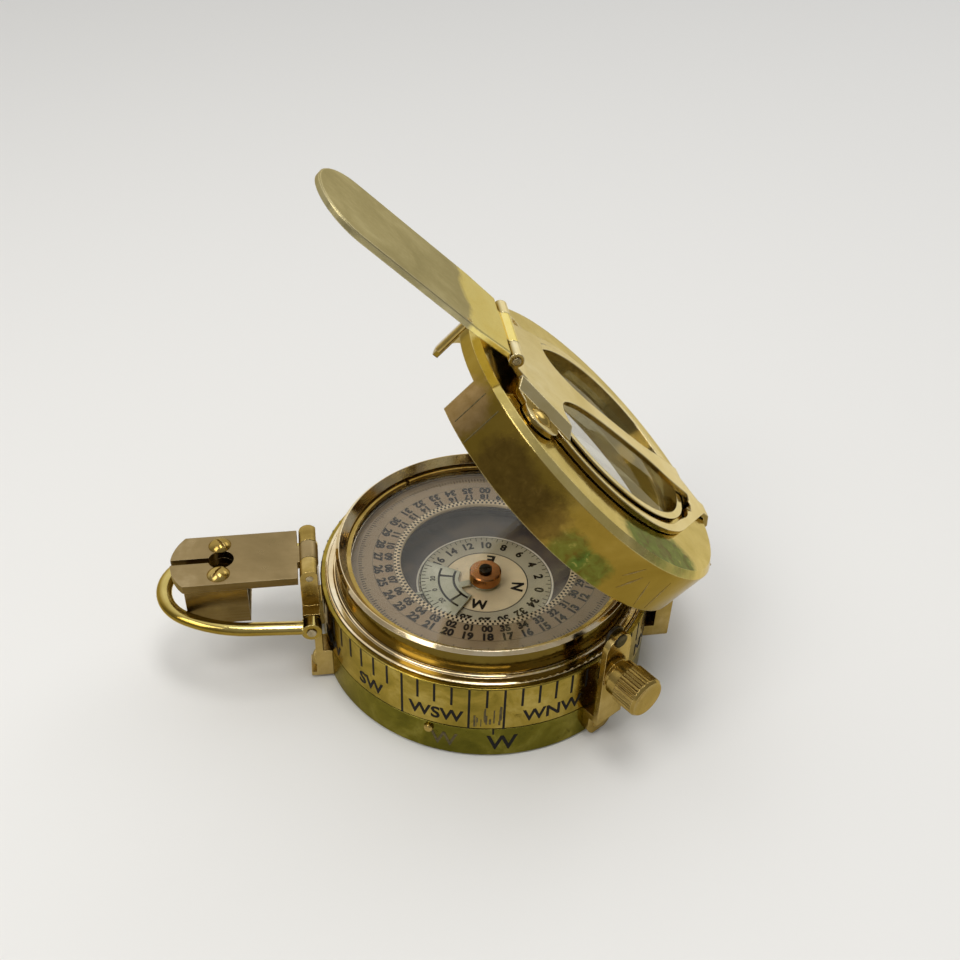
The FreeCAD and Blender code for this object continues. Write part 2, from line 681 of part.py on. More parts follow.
def leaf_hinge_pin():
    return rod_y(HINGE_PIN_R, LEAF_AXIS_X, LEAF_AXIS_Z, -LEAF_HALF_W, LEAF_HALF_W)


def loop_pin():
    half = LOOP_CENTRE_Y + LOOP_W / 2 + LOOP_PIN_PROUD
    return rod_y(LOOP_PIN_R, LOOP_X, LOOP_Z, -half, half)


def sight_leaf():
    centre_x = LEAF_TIP_X + LEAF_TIP_R
    plate = disc(LEAF_TIP_R, LEAF_BOTTOM, LEAF_TOP, centre_x)
    plate = plate.common(box(LEAF_TIP_X - PAST, centre_x, -LEAF_HALF_W, LEAF_HALF_W, -FAR, FAR))
    rest = box(centre_x - EPS, LEAF_START_X, -LEAF_HALF_W, LEAF_HALF_W, LEAF_BOTTOM, LEAF_TOP)
    plate = fuse(plate, rest)
    slot = box(LEAF_TIP_X - PAST, KEYHOLE_X, -SLOT_W / 2, SLOT_W / 2, LEAF_BOTTOM - PAST, LEAF_TOP + PAST)
    hole = disc(KEYHOLE_R, LEAF_BOTTOM - PAST, LEAF_TOP + PAST, KEYHOLE_X)
    tongue = box(LEAF_START_X - EPS, LEAF_AXIS_X, -LEAF_KNUCKLE_HALF, LEAF_KNUCKLE_HALF,
                 LEAF_BOTTOM, LEAF_TOP)
    knuckle = rod_y(LEAF_BARREL_R, LEAF_AXIS_X, LEAF_AXIS_Z, -LEAF_KNUCKLE_HALF, LEAF_KNUCKLE_HALF)
    pin_hole = rod_y(HINGE_PIN_R + PIN_CLEARANCE, LEAF_AXIS_X, LEAF_AXIS_Z, -LEAF_HALF_W, LEAF_HALF_W)
    screws = [s.common(box(-FAR, 0, -FAR, FAR, LEAF_BOTTOM - PAST, LEAF_TOP)) for s in leaf_screw_shanks()]
    return fuse(plate, tongue, knuckle).cut([slot, hole, pin_hole] + screws)


def leaf_screw_shanks():
    low = LEAF_BOTTOM - PRISM_ROOF_T
    return both_sides(disc(SCREW_SHANK_R, low, LEAF_TOP, KEYHOLE_X - LEAF_SCREW_X, LEAF_SCREW_Y))


def leaf_screws():
    out = []
    for shank in leaf_screw_shanks():
        y = shank.BoundBox.Center.y
        head = dome_z(SCREW_HEAD_R, KEYHOLE_X - LEAF_SCREW_X, y, LEAF_TOP, SCREW_HEAD_H)
        slot = box(-SCREW_SLOT_W / 2, SCREW_SLOT_W / 2, -FAR, FAR, LEAF_TOP + SCREW_HEAD_H / 2, FAR)
        slot.rotate(V(0, 0, 0), V(0, 0, 1), 35 * math.copysign(1, y))
        slot.translate(V(KEYHOLE_X - LEAF_SCREW_X, y, 0))
        out.append(fuse(head.cut(slot), shank))
    return out


def prism_box():
    outer = box(BOX_OUT_X, BOX_IN_X, -PRISM_BOX_HALF_W, PRISM_BOX_HALF_W, BOX_BOTTOM, LEAF_BOTTOM)
    half = PRISM_BOX_HALF_W - PRISM_BOX_WALL
    cavity = box(BOX_OUT_X + PRISM_BOX_WALL, BOX_IN_X + PAST, -half, half,
                 BOX_BOTTOM + PRISM_BOX_WALL, LEAF_BOTTOM - PRISM_ROOF_T)
    window = disc(KEYHOLE_R, LEAF_BOTTOM - PRISM_ROOF_T - PAST, LEAF_BOTTOM + PAST, KEYHOLE_X)
    return outer.cut([cavity, window] + leaf_screw_shanks())


def prism():
    half = PRISM_BOX_HALF_W - PRISM_BOX_WALL - PRISM_CLEARANCE
    low = BOX_BOTTOM + PRISM_BOX_WALL
    high = LEAF_BOTTOM - PRISM_ROOF_T - PRISM_CLEARANCE
    out = BOX_OUT_X + PRISM_BOX_WALL + PRISM_CLEARANCE
    leg = high - low
    wire = Part.makePolygon([
        V(out, -half, low), V(out + leg, -half, low), V(out, -half, high), V(out, -half, low),
    ])
    return Part.Face(wire).extrude(V(0, 2 * half, 0))


def thumb_loop():
    start = LOOP_X - LOOP_EYE_R + LOOP_WELD
    bend_x = LOOP_X - LOOP_STRAIGHT
    tip_x = LOOP_X - LOOP_L
    tip_centre = tip_x + LOOP_TIP_R
    run = bend_x - tip_centre
    side = LOOP_CENTRE_Y
    side_r = (run * run + side * side - LOOP_TIP_R ** 2) / (2 * (side - LOOP_TIP_R))
    side_centre = side - side_r
    lean = math.atan2(-side_centre, run)
    joint = V(tip_centre - LOOP_TIP_R * math.cos(lean), LOOP_TIP_R * math.sin(lean), 0)
    half_lean = (math.pi / 2 + lean) / 2
    middle = V(bend_x - side_r * math.cos(half_lean), side_centre + side_r * math.sin(half_lean), 0)
    quarter = [
        Part.makeLine(V(start, side, 0), V(bend_x, side, 0)),
        Part.Arc(V(bend_x, side, 0), middle, joint).toShape(),
    ]
    tip = Part.Arc(joint, V(tip_x, 0, 0), V(joint.x, -joint.y, 0)).toShape()
    mirrored = [e.mirror(V(0, 0, 0), V(0, 1, 0)) for e in quarter]
    path = Part.Wire(Part.__sortEdges__(quarter + [tip] + mirrored))
    section = Part.Ellipse(V(start, side, 0), LOOP_W / 2, LOOP_T / 2).toShape()
    section.rotate(V(start, side, 0), V(0, 1, 0), 90)
    section.rotate(V(start, side, 0), V(1, 0, 0), 90)
    wire = path.makePipeShell([Part.Wire(section)], True, False)
    pieces = [wire]
    for y in (-side, side):
        eye = rod_y(LOOP_EYE_R, LOOP_X, 0, y - LOOP_W / 2 + LOOP_EYE_IN, y + LOOP_W / 2 - LOOP_EYE_IN)
        pieces.append(eye)
    loop = fuse(*pieces)
    holes = rod_y(LOOP_PIN_R + PIN_CLEARANCE, LOOP_X, 0, -FAR, FAR)
    loop = loop.cut(holes)
    loop.rotate(V(LOOP_X, 0, 0), V(0, 1, 0), LOOP_RISE_DEG)
    loop.translate(V(0, 0, LOOP_Z))
    return loop


def strap_rivet_shank():
    return rod_x(RIVET_R, RIVET_IN_X, STRAP_SEAT, 0, RIVET_Z)


def strap_rivet():
    head = dome_x(RIVET_HEAD_R, STRAP_SEAT, 0, RIVET_Z, RIVET_HEAD_H)
    return turned(fuse(head, strap_rivet_shank()), STRAP_AZ)


def catch_strap():
    foot_top = FOOT_Z + FOOT_H
    body = disc(BODY_R, -PAST, BASE_H + PAST)
    inner = BODY_R - EDGE_CHAMFER - STRAP_SEAT_IN
    foot = box(inner, STRAP_SEAT, -STRAP_HALF_W, STRAP_HALF_W, RIVET_Z, foot_top).cut(body)
    toe = rod_x(STRAP_HALF_W, inner, STRAP_SEAT, 0, RIVET_Z)
    toe = toe.common(box(0, FAR, -FAR, FAR, FOOT_Z, RIVET_Z)).cut(body)
    jog = box(STRAP_SEAT - EPS, STRAP_OUT, -STRAP_HALF_W, STRAP_HALF_W, STRAP_JOG_Z, foot_top)
    crown_z = STRAP_TOP - STRAP_HALF_W
    riser = box(STRAP_R, STRAP_OUT, -STRAP_HALF_W, STRAP_HALF_W, STRAP_JOG_Z, crown_z)
    crown = rod_x(STRAP_HALF_W, STRAP_R, STRAP_OUT, 0, crown_z)
    boss = rod_x(CLAMP_BOSS_R, STRAP_OUT - EPS, STRAP_OUT + CLAMP_BOSS_H, 0, CLAMP_Z)
    strap = fuse(foot, toe, jog, riser, crown, boss)
    holes = [
        strap_rivet_shank(),
        rod_x(CLAMP_SHANK_R + PIN_CLEARANCE, STRAP_R - PAST, FAR, 0, CLAMP_Z),
        rod_x(CATCH_SHANK_R, STRAP_R - PAST, FAR, 0, CATCH_Z),
    ]
    return turned(strap.cut(holes), STRAP_AZ)


def catch_stud():
    inner = rod_x(CATCH_R, STRAP_R - CATCH_IN, STRAP_R, 0, CATCH_Z)
    shank = rod_x(CATCH_SHANK_R, STRAP_R - EPS, STRAP_OUT + EPS, 0, CATCH_Z)
    outer = rod_x(CATCH_END_R, STRAP_OUT, STRAP_OUT + CATCH_OUT, 0, CATCH_Z)
    return turned(fuse(inner, shank, outer), STRAP_AZ)


def clamp_screw():
    tip = BODY_R + CLAMP_TIP_GAP
    shank = rod_x(CLAMP_SHANK_R, tip, KNOB_START + EPS, 0, CLAMP_Z)
    neck = rod_x(KNOB_NECK_R, KNOB_START, KNOB_START + KNOB_NECK_L, 0, CLAMP_Z)
    knob_x = KNOB_START + KNOB_NECK_L
    end = KNOB_START + KNOB_L
    points = []
    for n in range(2 * KNURLS):
        r = KNOB_R - (n % 2) * KNURL_DEPTH
        a = math.pi * n / KNURLS
        points.append(V(knob_x, r * math.cos(a), CLAMP_Z + r * math.sin(a)))
    knurled = Part.Face(Part.makePolygon(points + points[:1])).extrude(V(end - KNOB_EDGE_L - knob_x, 0, 0))
    collar_at = V(end - KNOB_EDGE_L, 0, CLAMP_Z)
    collar = Part.makeCone(KNOB_R, KNOB_R - KNOB_EDGE_W, KNOB_EDGE_L, collar_at, V(1, 0, 0))
    dish = Part.makeSphere(KNOB_DISH_R, V(end + KNOB_DISH_R - KNOB_DISH_DEPTH, 0, CLAMP_Z))
    return turned(fuse(shank, neck, knurled, collar).cut(dish), STRAP_AZ)


def block_rivet_shanks():
    return both_sides(rod_x(RIVET_R, RIVET_IN_X, HINGE_OUT_X, BLOCK_RIVET_Y, BLOCK_RIVET_Z))


def block_rivets():
    head = dome_x(RIVET_HEAD_R, HINGE_OUT_X, BLOCK_RIVET_Y, BLOCK_RIVET_Z, RIVET_HEAD_H)
    shank = rod_x(RIVET_R, RIVET_IN_X, HINGE_OUT_X, BLOCK_RIVET_Y, BLOCK_RIVET_Z)
    return both_sides(fuse(head, shank))


def lid_hinge_bracket():
    low = box(BODY_R - BLOCK_DEPTH, HINGE_OUT_X, -HINGE_HALF_W, HINGE_HALF_W, BLOCK_Z, BASE_H - RUN_GAP)
    corners = [e for e in low.Edges if e.BoundBox.XLength > BLOCK_DEPTH and e.BoundBox.ZMax < BLOCK_Z + EPS]
    low = low.makeFillet(BLOCK_CORNER, corners).cut(disc(BODY_R, -PAST, BASE_H + PAST))
    high = box(PLATE_X, HINGE_OUT_X, -HINGE_HALF_W, HINGE_HALF_W, BASE_H - RUN_GAP - EPS, BLOCK_TOP)
    pieces = [low, high]
    inner = HINGE_KNUCKLE_HALF + KNUCKLE_GAP
    for y0, y1 in ((-HINGE_HALF_W, -inner), (inner, HINGE_HALF_W)):
        pieces.append(rod_y(HINGE_BARREL_R, HINGE_X, HINGE_Z, y0, y1))
        pieces.append(box(HINGE_X - HINGE_BARREL_R, HINGE_OUT_X, y0, y1, BLOCK_TOP - EPS, HINGE_Z))
    bracket = fuse(*pieces)
    pin = rod_y(HINGE_PIN_R, HINGE_X, HINGE_Z, -HINGE_HALF_W - PAST, HINGE_HALF_W + PAST)
    return bracket.cut([pin] + block_rivet_shanks())


def lid_hinge_pin():
    half = HINGE_HALF_W + HINGE_PIN_PROUD
    return rod_y(HINGE_PIN_R, HINGE_X, HINGE_Z, -half, half)


def lid_hinge_arm():
    plate = box(ARM_X, ARM_X + ARM_T, -HINGE_HALF_W, HINGE_HALF_W, ARM_BOTTOM, ARM_TOP)
    pad = box(LID_R - ARM_PAD_DEPTH, ARM_X + EPS, -ARM_PAD_HALF_W, ARM_PAD_HALF_W, ARM_PAD_Z, ARM_TOP)
    pad = pad.cut(disc(LID_R, 0, FAR))
    web = box(ARM_X, HINGE_X, -HINGE_KNUCKLE_HALF, HINGE_KNUCKLE_HALF, HINGE_Z, ARM_BOTTOM + EPS)
    barrel = rod_y(HINGE_BARREL_R, HINGE_X, HINGE_Z, -HINGE_KNUCKLE_HALF, HINGE_KNUCKLE_HALF)
    pin = rod_y(HINGE_PIN_R + PIN_CLEARANCE, HINGE_X, HINGE_Z, -FAR, FAR)
    return opened(fuse(plate, pad, web, barrel).cut([pin] + arm_rivet_shanks()))


def arm_rivet_shanks():
    return both_sides(rod_x(RIVET_R, LID_R - LID_WALL, ARM_X + ARM_T, ARM_RIVET_Y, ARM_RIVET_Z))


def arm_rivets():
    head = dome_x(RIVET_HEAD_R, ARM_X + ARM_T, ARM_RIVET_Y, ARM_RIVET_Z, RIVET_HEAD_H)
    shank = rod_x(RIVET_R, LID_R - LID_WALL, ARM_X + ARM_T, ARM_RIVET_Y, ARM_RIVET_Z)
    return [opened(s) for s in both_sides(fuse(head, shank))]


def lid_shell():
    inner = LID_R - LID_WALL
    shell = spun([
        (0, LID_UNDER), (inner, LID_UNDER), (inner, LID_SEAT), (LID_R, LID_SEAT),
        (LID_R, LID_TOP - LID_BEVEL), (LID_R - LID_BEVEL, LID_TOP), (0, LID_TOP),
    ])
    cuts = [disc(WINDOW_R, LID_UNDER - PAST, LID_TOP + PAST, WINDOW_X)]
    half = LID_NOTCH_HALF_W
    cuts.append(box(-FAR, 0, -half, half, LID_SEAT - PAST, LID_SEAT + LID_NOTCH_H))
    cuts += arm_rivet_shanks()
    cuts += [disc(SCREW_SHANK_R, LID_UNDER - PAST, LID_TOP + PAST, x, y) for x, y in frame_screw_places()]
    return opened(shell.cut(cuts))


def lens_ring():
    tube = ring(LENS_BORE_R, WINDOW_R, LENS_LOW, LID_TOP + LENS_TUBE_RISE, WINDOW_X)
    flange = ring(LENS_BORE_R, WINDOW_R + LENS_FLANGE_W, LENS_LOW, LID_UNDER, WINDOW_X)
    lip = ring(LENS_BORE_R - LENS_LIP, LENS_BORE_R + EPS, LENS_LOW, LENS_LOW + LENS_LIP_T, WINDOW_X)
    return opened(fuse(tube, flange, lip))


def lens():
    low = LENS_LOW + LENS_LIP_T
    top = low + LENS_T
    r = LENS_BORE_R - PIN_CLEARANCE
    glass = disc(r, low, top, WINDOW_X)
    ball_r = (r * r + LENS_CROWN * LENS_CROWN) / (2 * LENS_CROWN)
    ball = Part.makeSphere(ball_r, V(WINDOW_X, 0, top + LENS_CROWN - ball_r))
    bulge = ball.common(disc(r, top - EPS, top + PAST, WINDOW_X))
    return opened(fuse(glass, bulge))


def frame_screw_places():
    reach = WINDOW_R + FRAME_SCREW_REACH
    angle = math.radians(FRAME_SCREW_DEG)
    x = WINDOW_X + reach * math.cos(angle)
    y = reach * math.sin(angle)
    return [(x, y), (x, -y)]


def frame_slot():
    """One of the two long openings beside the frame's middle bar."""
    points = [V(WINDOW_X + WINDOW_R * x, WINDOW_R * y, LID_TOP) for x, y in SLOT_BAR_EDGE]
    points.append(V(WINDOW_X + WINDOW_R * SLOT_END[0], WINDOW_R * SLOT_END[1], LID_TOP))
    steps = 6
    for n in range(steps):
        angle = math.radians(SLOT_FROM_DEG + (SLOT_TO_DEG - SLOT_FROM_DEG) * n / (steps - 1))
        points.append(V(WINDOW_X + SLOT_R * math.cos(angle), SLOT_R * math.sin(angle), LID_TOP))
    curve = Part.BSplineCurve()
    curve.interpolate(points, True)
    return Part.Face(Part.Wire(curve.toShape())).extrude(V(0, 0, FAR))


def frame_plan():
    """The frame's outline seen from above, without its slots, as a tall block."""
    root = Part.makePolygon([
        V(ROOT_END_X, -ROOT_SHOULDER_Y, LID_TOP), V(SHOULDER_X, -ROOT_SHOULDER_Y, LID_TOP),
        V(ROOT_X, -ROOT_HALF_W, LID_TOP), V(ROOT_X, ROOT_HALF_W, LID_TOP),
        V(SHOULDER_X, ROOT_SHOULDER_Y, LID_TOP), V(ROOT_END_X, ROOT_SHOULDER_Y, LID_TOP),
        V(ROOT_END_X, -ROOT_SHOULDER_Y, LID_TOP),
    ])
    pieces = [Part.Face(root).extrude(V(0, 0, FAR))]
    pieces.append(teardrop(WINDOW_X, FRAME_R, APEX_X, APEX_R, LID_TOP, LID_TOP + FAR))
    pieces += [disc(EAR_R, LID_TOP, LID_TOP + FAR, x, y) for x, y in frame_screw_places()]
    return fuse(*pieces).cut(both_sides(frame_slot()))


def frame_root():
    """The raised root, which steps down along a slanted line on each side to the low ears."""
    foot = STEP_FROM + STEP_W
    side = [(-FAR, FRAME_TOP), (STEP_FROM, FRAME_TOP), (foot, LOW_TOP), (FAR, LOW_TOP), (FAR, LOW_Z),
            (foot, LOW_Z), (STEP_FROM, FRAME_Z), (-FAR, FRAME_Z)]
    points = [V(-FAR, y, z) for y, z in side]
    sheet = Part.Face(Part.makePolygon(points + points[:1])).extrude(V(2 * FAR, 0, 0))
    sheet.rotate(V(0, 0, 0), V(0, 0, 1), STEP_TURN_DEG)
    half = sheet.common(box(ROOT_X, ROOT_END_X, 0, FAR, LID_TOP, FRAME_TOP + PAST))
    return fuse(*both_sides(half))


def frame_bar():
    """The raised bar over the lens, which steps down past the ring to the apex."""
    low_x = RAMP_X + RAMP_L
    side = [(ROOT_END_X - EPS, FRAME_Z), (RAMP_X, FRAME_Z), (low_x, LOW_Z), (APEX_X, LOW_Z),
            (APEX_X, LOW_TOP), (low_x + FRAME_T / 2, LOW_TOP), (RAMP_X + FRAME_T / 2, FRAME_TOP),
            (ROOT_END_X - EPS, FRAME_TOP)]
    points = [V(x, -BAR_STRIP, z) for x, z in side]
    return Part.Face(Part.makePolygon(points + points[:1])).extrude(V(0, 2 * BAR_STRIP, 0))


def frame_tab():
    """The frame's nose, bent down over the lid's bevelled rim."""
    bend = LID_R - LID_BEVEL
    side = [(APEX_X, LOW_Z), (bend, LOW_Z), (TAB_X, LID_TOP - LID_BEVEL + FRAME_SEAT),
            (TAB_X, LID_TOP - TAB_DROP), (TAB_X + TAB_T, LID_TOP - TAB_DROP),
            (TAB_X + TAB_T, LID_TOP - LID_BEVEL + FRAME_SEAT + TAB_T / 2), (bend + TAB_T / 2, LOW_TOP),
            (APEX_X, LOW_TOP)]
    points = [V(x, -TAB_HALF_W, z) for x, z in side]
    return Part.Face(Part.makePolygon(points + points[:1])).extrude(V(0, 2 * TAB_HALF_W, 0))


def sight_frame():
    plan = frame_plan()
    low = box(ROOT_END_X - EPS, FAR, -FAR, FAR, LOW_Z, LOW_TOP)
    under_bar = box(ROOT_END_X - PAST, RAMP_X + RAMP_L, -BAR_STRIP, BAR_STRIP, LOW_Z - PAST, LOW_TOP + PAST)
    low = low.cut(under_bar)
    pieces = [plan.common(frame_root()), plan.common(low), plan.common(frame_bar()), frame_tab()]
    pieces.append(disc(APEX_FOOT_R, LID_TOP, LOW_Z + EPS, APEX_X))
    for x, y in frame_screw_places():
        pieces.append(disc(FRAME_PAD_R, LID_TOP, LOW_Z + EPS, x, y))
    start = VANE_KNUCKLE_HALF + KNUCKLE_GAP
    for y0, y1 in ((-VANE_LUG_END, -start), (start, VANE_LUG_END)):
        pieces.append(rod_y(VANE_BARREL_R, VANE_AXIS_X, VANE_AXIS_Z, y0, y1))
        pieces.append(vane_lug(y0, y1))
    cuts = [disc(SCREW_SHANK_R, LID_TOP - PAST, LOW_TOP + PAST, x, y) for x, y in frame_screw_places()]
    cuts.append(rod_y(HINGE_PIN_R, VANE_AXIS_X, VANE_AXIS_Z, -VANE_LUG_END - PAST, VANE_LUG_END + PAST))
    return opened(fuse(*pieces).cut(cuts))


def vane_lug(y0, y1):
    """An ear of the frame that rises and reaches out to carry the vane's hinge pin."""
    side = [
        (ROOT_X + VANE_BARREL_R, FRAME_Z), (ROOT_X + VANE_BARREL_R, FRAME_TOP),
        (VANE_AXIS_X + VANE_BARREL_R, VANE_AXIS_Z - VANE_LUG_DROP), (VANE_AXIS_X, VANE_AXIS_Z),
        (VANE_AXIS_X - VANE_BARREL_R * 0.7, VANE_AXIS_Z - VANE_BARREL_R * 0.7), (ROOT_X, FRAME_Z),
    ]
    points = [V(x, y0, z) for x, z in side]
    return Part.Face(Part.makePolygon(points + points[:1])).extrude(V(0, y1 - y0, 0))


def frame_screws():
    out = []
    half_slot = SCREW_SLOT_W / 2
    for x, y in frame_screw_places():
        head = dome_z(SCREW_HEAD_R, x, y, LOW_TOP, SMALL_HEAD_H)
        slot = box(-FAR, FAR, -half_slot, half_slot, LOW_TOP + SMALL_HEAD_H / 2, LOW_TOP + FAR)
        slot.rotate(V(0, 0, 0), V(0, 0, 1), 50 if y > 0 else -20)
        slot.translate(V(x, y, 0))
        shank = disc(SCREW_SHANK_R, LID_UNDER, LOW_TOP, x, y)
        out.append(opened(fuse(head.cut(slot), shank)))
    return out


def vane_hinge_pin():
    half = VANE_LUG_END + HINGE_PIN_PROUD
    return opened(rod_y(HINGE_PIN_R, VANE_AXIS_X, VANE_AXIS_Z, -half, half))


def sight_vane():
    neck_x = VANE_ROOT_X - VANE_ROOT_L
    tip_start = VANE_TIP_X + VANE_TIP_L
    z = VANE_Z
    side = [V(VANE_ROOT_X, VANE_ROOT_HALF_W, z), V(neck_x, VANE_HALF_W, z), V(tip_start, VANE_TIP_HALF_W, z)]
    other = [V(p.x, -p.y, z) for p in reversed(side)]
    tip = Part.Ellipse(side[2], V(VANE_TIP_X, 0, z), V(tip_start, 0, z))
    edges = [
        Part.makeLine(side[0], side[1]), Part.makeLine(side[1], side[2]),
        Part.ArcOfEllipse(tip, 0, math.pi).toShape(),
        Part.makeLine(other[0], other[1]), Part.makeLine(other[1], other[2]),
        Part.makeLine(other[2], side[0]),
    ]
    blade = Part.Face(Part.Wire(edges)).extrude(V(0, 0, VANE_T))
    rim = [e for e in blade.Edges if e.BoundBox.ZMin > z + VANE_T / 2]
    blade = blade.makeChamfer(VANE_EDGE, rim)
    web = box(VANE_ROOT_X - PAST, VANE_AXIS_X, -VANE_KNUCKLE_HALF, VANE_KNUCKLE_HALF, z, z + VANE_T)
    barrel = rod_y(VANE_BARREL_R, VANE_AXIS_X, VANE_AXIS_Z, -VANE_KNUCKLE_HALF, VANE_KNUCKLE_HALF)
    pin = rod_y(HINGE_PIN_R + PIN_CLEARANCE, VANE_AXIS_X, VANE_AXIS_Z, -FAR, FAR)
    return opened(fuse(blade, web, barrel).cut([pin, vane_stud_shank()]))


def vane_stud_shank():
    top = VANE_Z + VANE_T
    return disc(STUD_R, top - STUD_L, top, STUD_X, STUD_Y)


def vane_stud():
    return opened(vane_stud_shank())


NODES = {
    "base_case": base_case, "bottom_cover": bottom_cover,
    "cover_screws": lambda: [cover_screw(x, y) for x, y in cover_screw_places()],
    "bearing_ring": bearing_ring, "bezel_ring": bezel_ring,
    "dial_glass": lambda: disc(GLASS_R, GLASS_Z, GLASS_Z + GLASS_T),
    "glass_retainer": glass_retainer, "dial_ring": dial_ring, "scale_ring": scale_ring,
    "pivot_post": pivot_post,
    "compass_card": compass_card, "card_hub": card_hub, "hub_cap": hub_cap,
    "card_magnets": card_magnets, "clinometer_pendulum": clinometer_pendulum,
    "brake_button": brake_button, "brake_spring": brake_spring, "spring_screw": spring_screw,
    "eyepiece_bracket": eyepiece_bracket, "bracket_rivets": bracket_rivets,
    "leaf_hinge_pin": leaf_hinge_pin, "loop_pin": loop_pin, "sight_leaf": sight_leaf,
    "leaf_screws": leaf_screws, "prism_box": prism_box, "prism": prism, "thumb_loop": thumb_loop,
    "catch_strap": catch_strap, "strap_rivet": strap_rivet, "catch_stud": catch_stud,
    "clamp_screw": clamp_screw, "lid_hinge_bracket": lid_hinge_bracket,
    "hinge_bracket_rivets": block_rivets, "lid_hinge_pin": lid_hinge_pin,
    "lid_hinge_arm": lid_hinge_arm, "arm_rivets": arm_rivets, "lid_shell": lid_shell,
    "lens_ring": lens_ring, "lens": lens, "sight_frame": sight_frame,
    "frame_screws": frame_screws, "vane_hinge_pin": vane_hinge_pin, "sight_vane": sight_vane,
    "vane_stud": vane_stud,
}


def export(name, made):
    shapes = made if isinstance(made, list) else [made]
    solids = [s for shape in shapes for s in shape.Solids]
    whole = solids[0] if len(solids) == 1 else Part.makeCompound(solids)
    whole.exportStep("parts/" + name + ".step")
    print(name, len(solids), "solid(s)", "valid" if whole.isValid() else "NOT VALID", round(whole.Volume, 2))


os.makedirs("parts", exist_ok=True)
for node_name, make in NODES.items():
    export(node_name, make())
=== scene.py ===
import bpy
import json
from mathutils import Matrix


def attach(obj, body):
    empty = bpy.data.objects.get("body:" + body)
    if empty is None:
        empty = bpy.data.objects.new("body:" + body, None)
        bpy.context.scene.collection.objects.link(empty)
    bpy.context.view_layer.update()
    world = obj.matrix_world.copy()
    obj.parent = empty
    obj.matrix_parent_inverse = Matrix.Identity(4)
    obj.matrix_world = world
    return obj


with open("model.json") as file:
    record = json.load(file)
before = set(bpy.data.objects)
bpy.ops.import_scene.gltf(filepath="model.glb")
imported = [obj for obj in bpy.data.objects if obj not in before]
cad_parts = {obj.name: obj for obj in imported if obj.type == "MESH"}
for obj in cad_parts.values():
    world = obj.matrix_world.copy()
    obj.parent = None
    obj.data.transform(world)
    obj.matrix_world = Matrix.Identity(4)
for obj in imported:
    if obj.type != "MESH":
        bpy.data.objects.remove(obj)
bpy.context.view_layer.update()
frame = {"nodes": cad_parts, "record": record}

import json
import math
import random

import bmesh
import bpy
from mathutils import Matrix, Vector

MM = 0.001
DEG = math.pi / 180
NODES = frame["nodes"]

# Where the solids lie, in millimetres and degrees.
BODY_R = 38.0
BAND_LOW = 9.0
BAND_TOP = 21.35
SCALE_TOP = 23.2
CARD_TOP = 15.8
FAN_TOP = 16.55
FAN_AZ = 190.0
LID_R = 37.5
LID_HINGE = (40.2, 16.3)
LID_OPEN = 43.3
BLADE_WAY = (-0.728, 0.0, 0.686)
BLADE_ROOT = (2.4, 0.0, 83.2)
UP = (0, 0, 1)
LID_UP = (0.6858, 0, 0.7278)


# ---------------------------------------------------------------- materials

# Brass turns yellow, not white, where it is seen at a grazing angle.
EDGE_TINT = (0.94, 0.84, 0.58, 1)
# Three directions of fine scratches: a turn in degrees and a stretch of the coordinates.
SCRATCH_WAYS = (
    ((0, 0, 24), (0.05, 2.6, 2.6)),
    ((38, 0, -57), (2.3, 0.06, 2.3)),
    ((0, 61, 82), (0.09, 3.1, 3.1)),
)
SCRATCH_DEPTH = 0.006
SCRATCH_ROUGH = 0.12
STAIN_ROUGH = 0.25
# A stain's share of the deep colour, and how far grime and the edges change the colour; the edges are
# brightened partly as rubbed wear and partly as a painted highlight.
STAIN_SHADE = 0.33
GRIME = 0.35
EDGE_WEAR_AND_GLINT = 0.55
# The dial's rings are given in millimetres and laid out over this radius.
DIAL_SPAN = 40.0
# The blade's root is painted bright for a length: partly polish from handling, partly a painted highlight
# on the bent root. The bright part ends over twice this blur.
BLADE_START = 3.0
BRIGHT_ROOT_L = 12.5
BRIGHT_ROOT_BLUR = 0.7


def opaque(colour):
    return tuple(colour) + (1,)


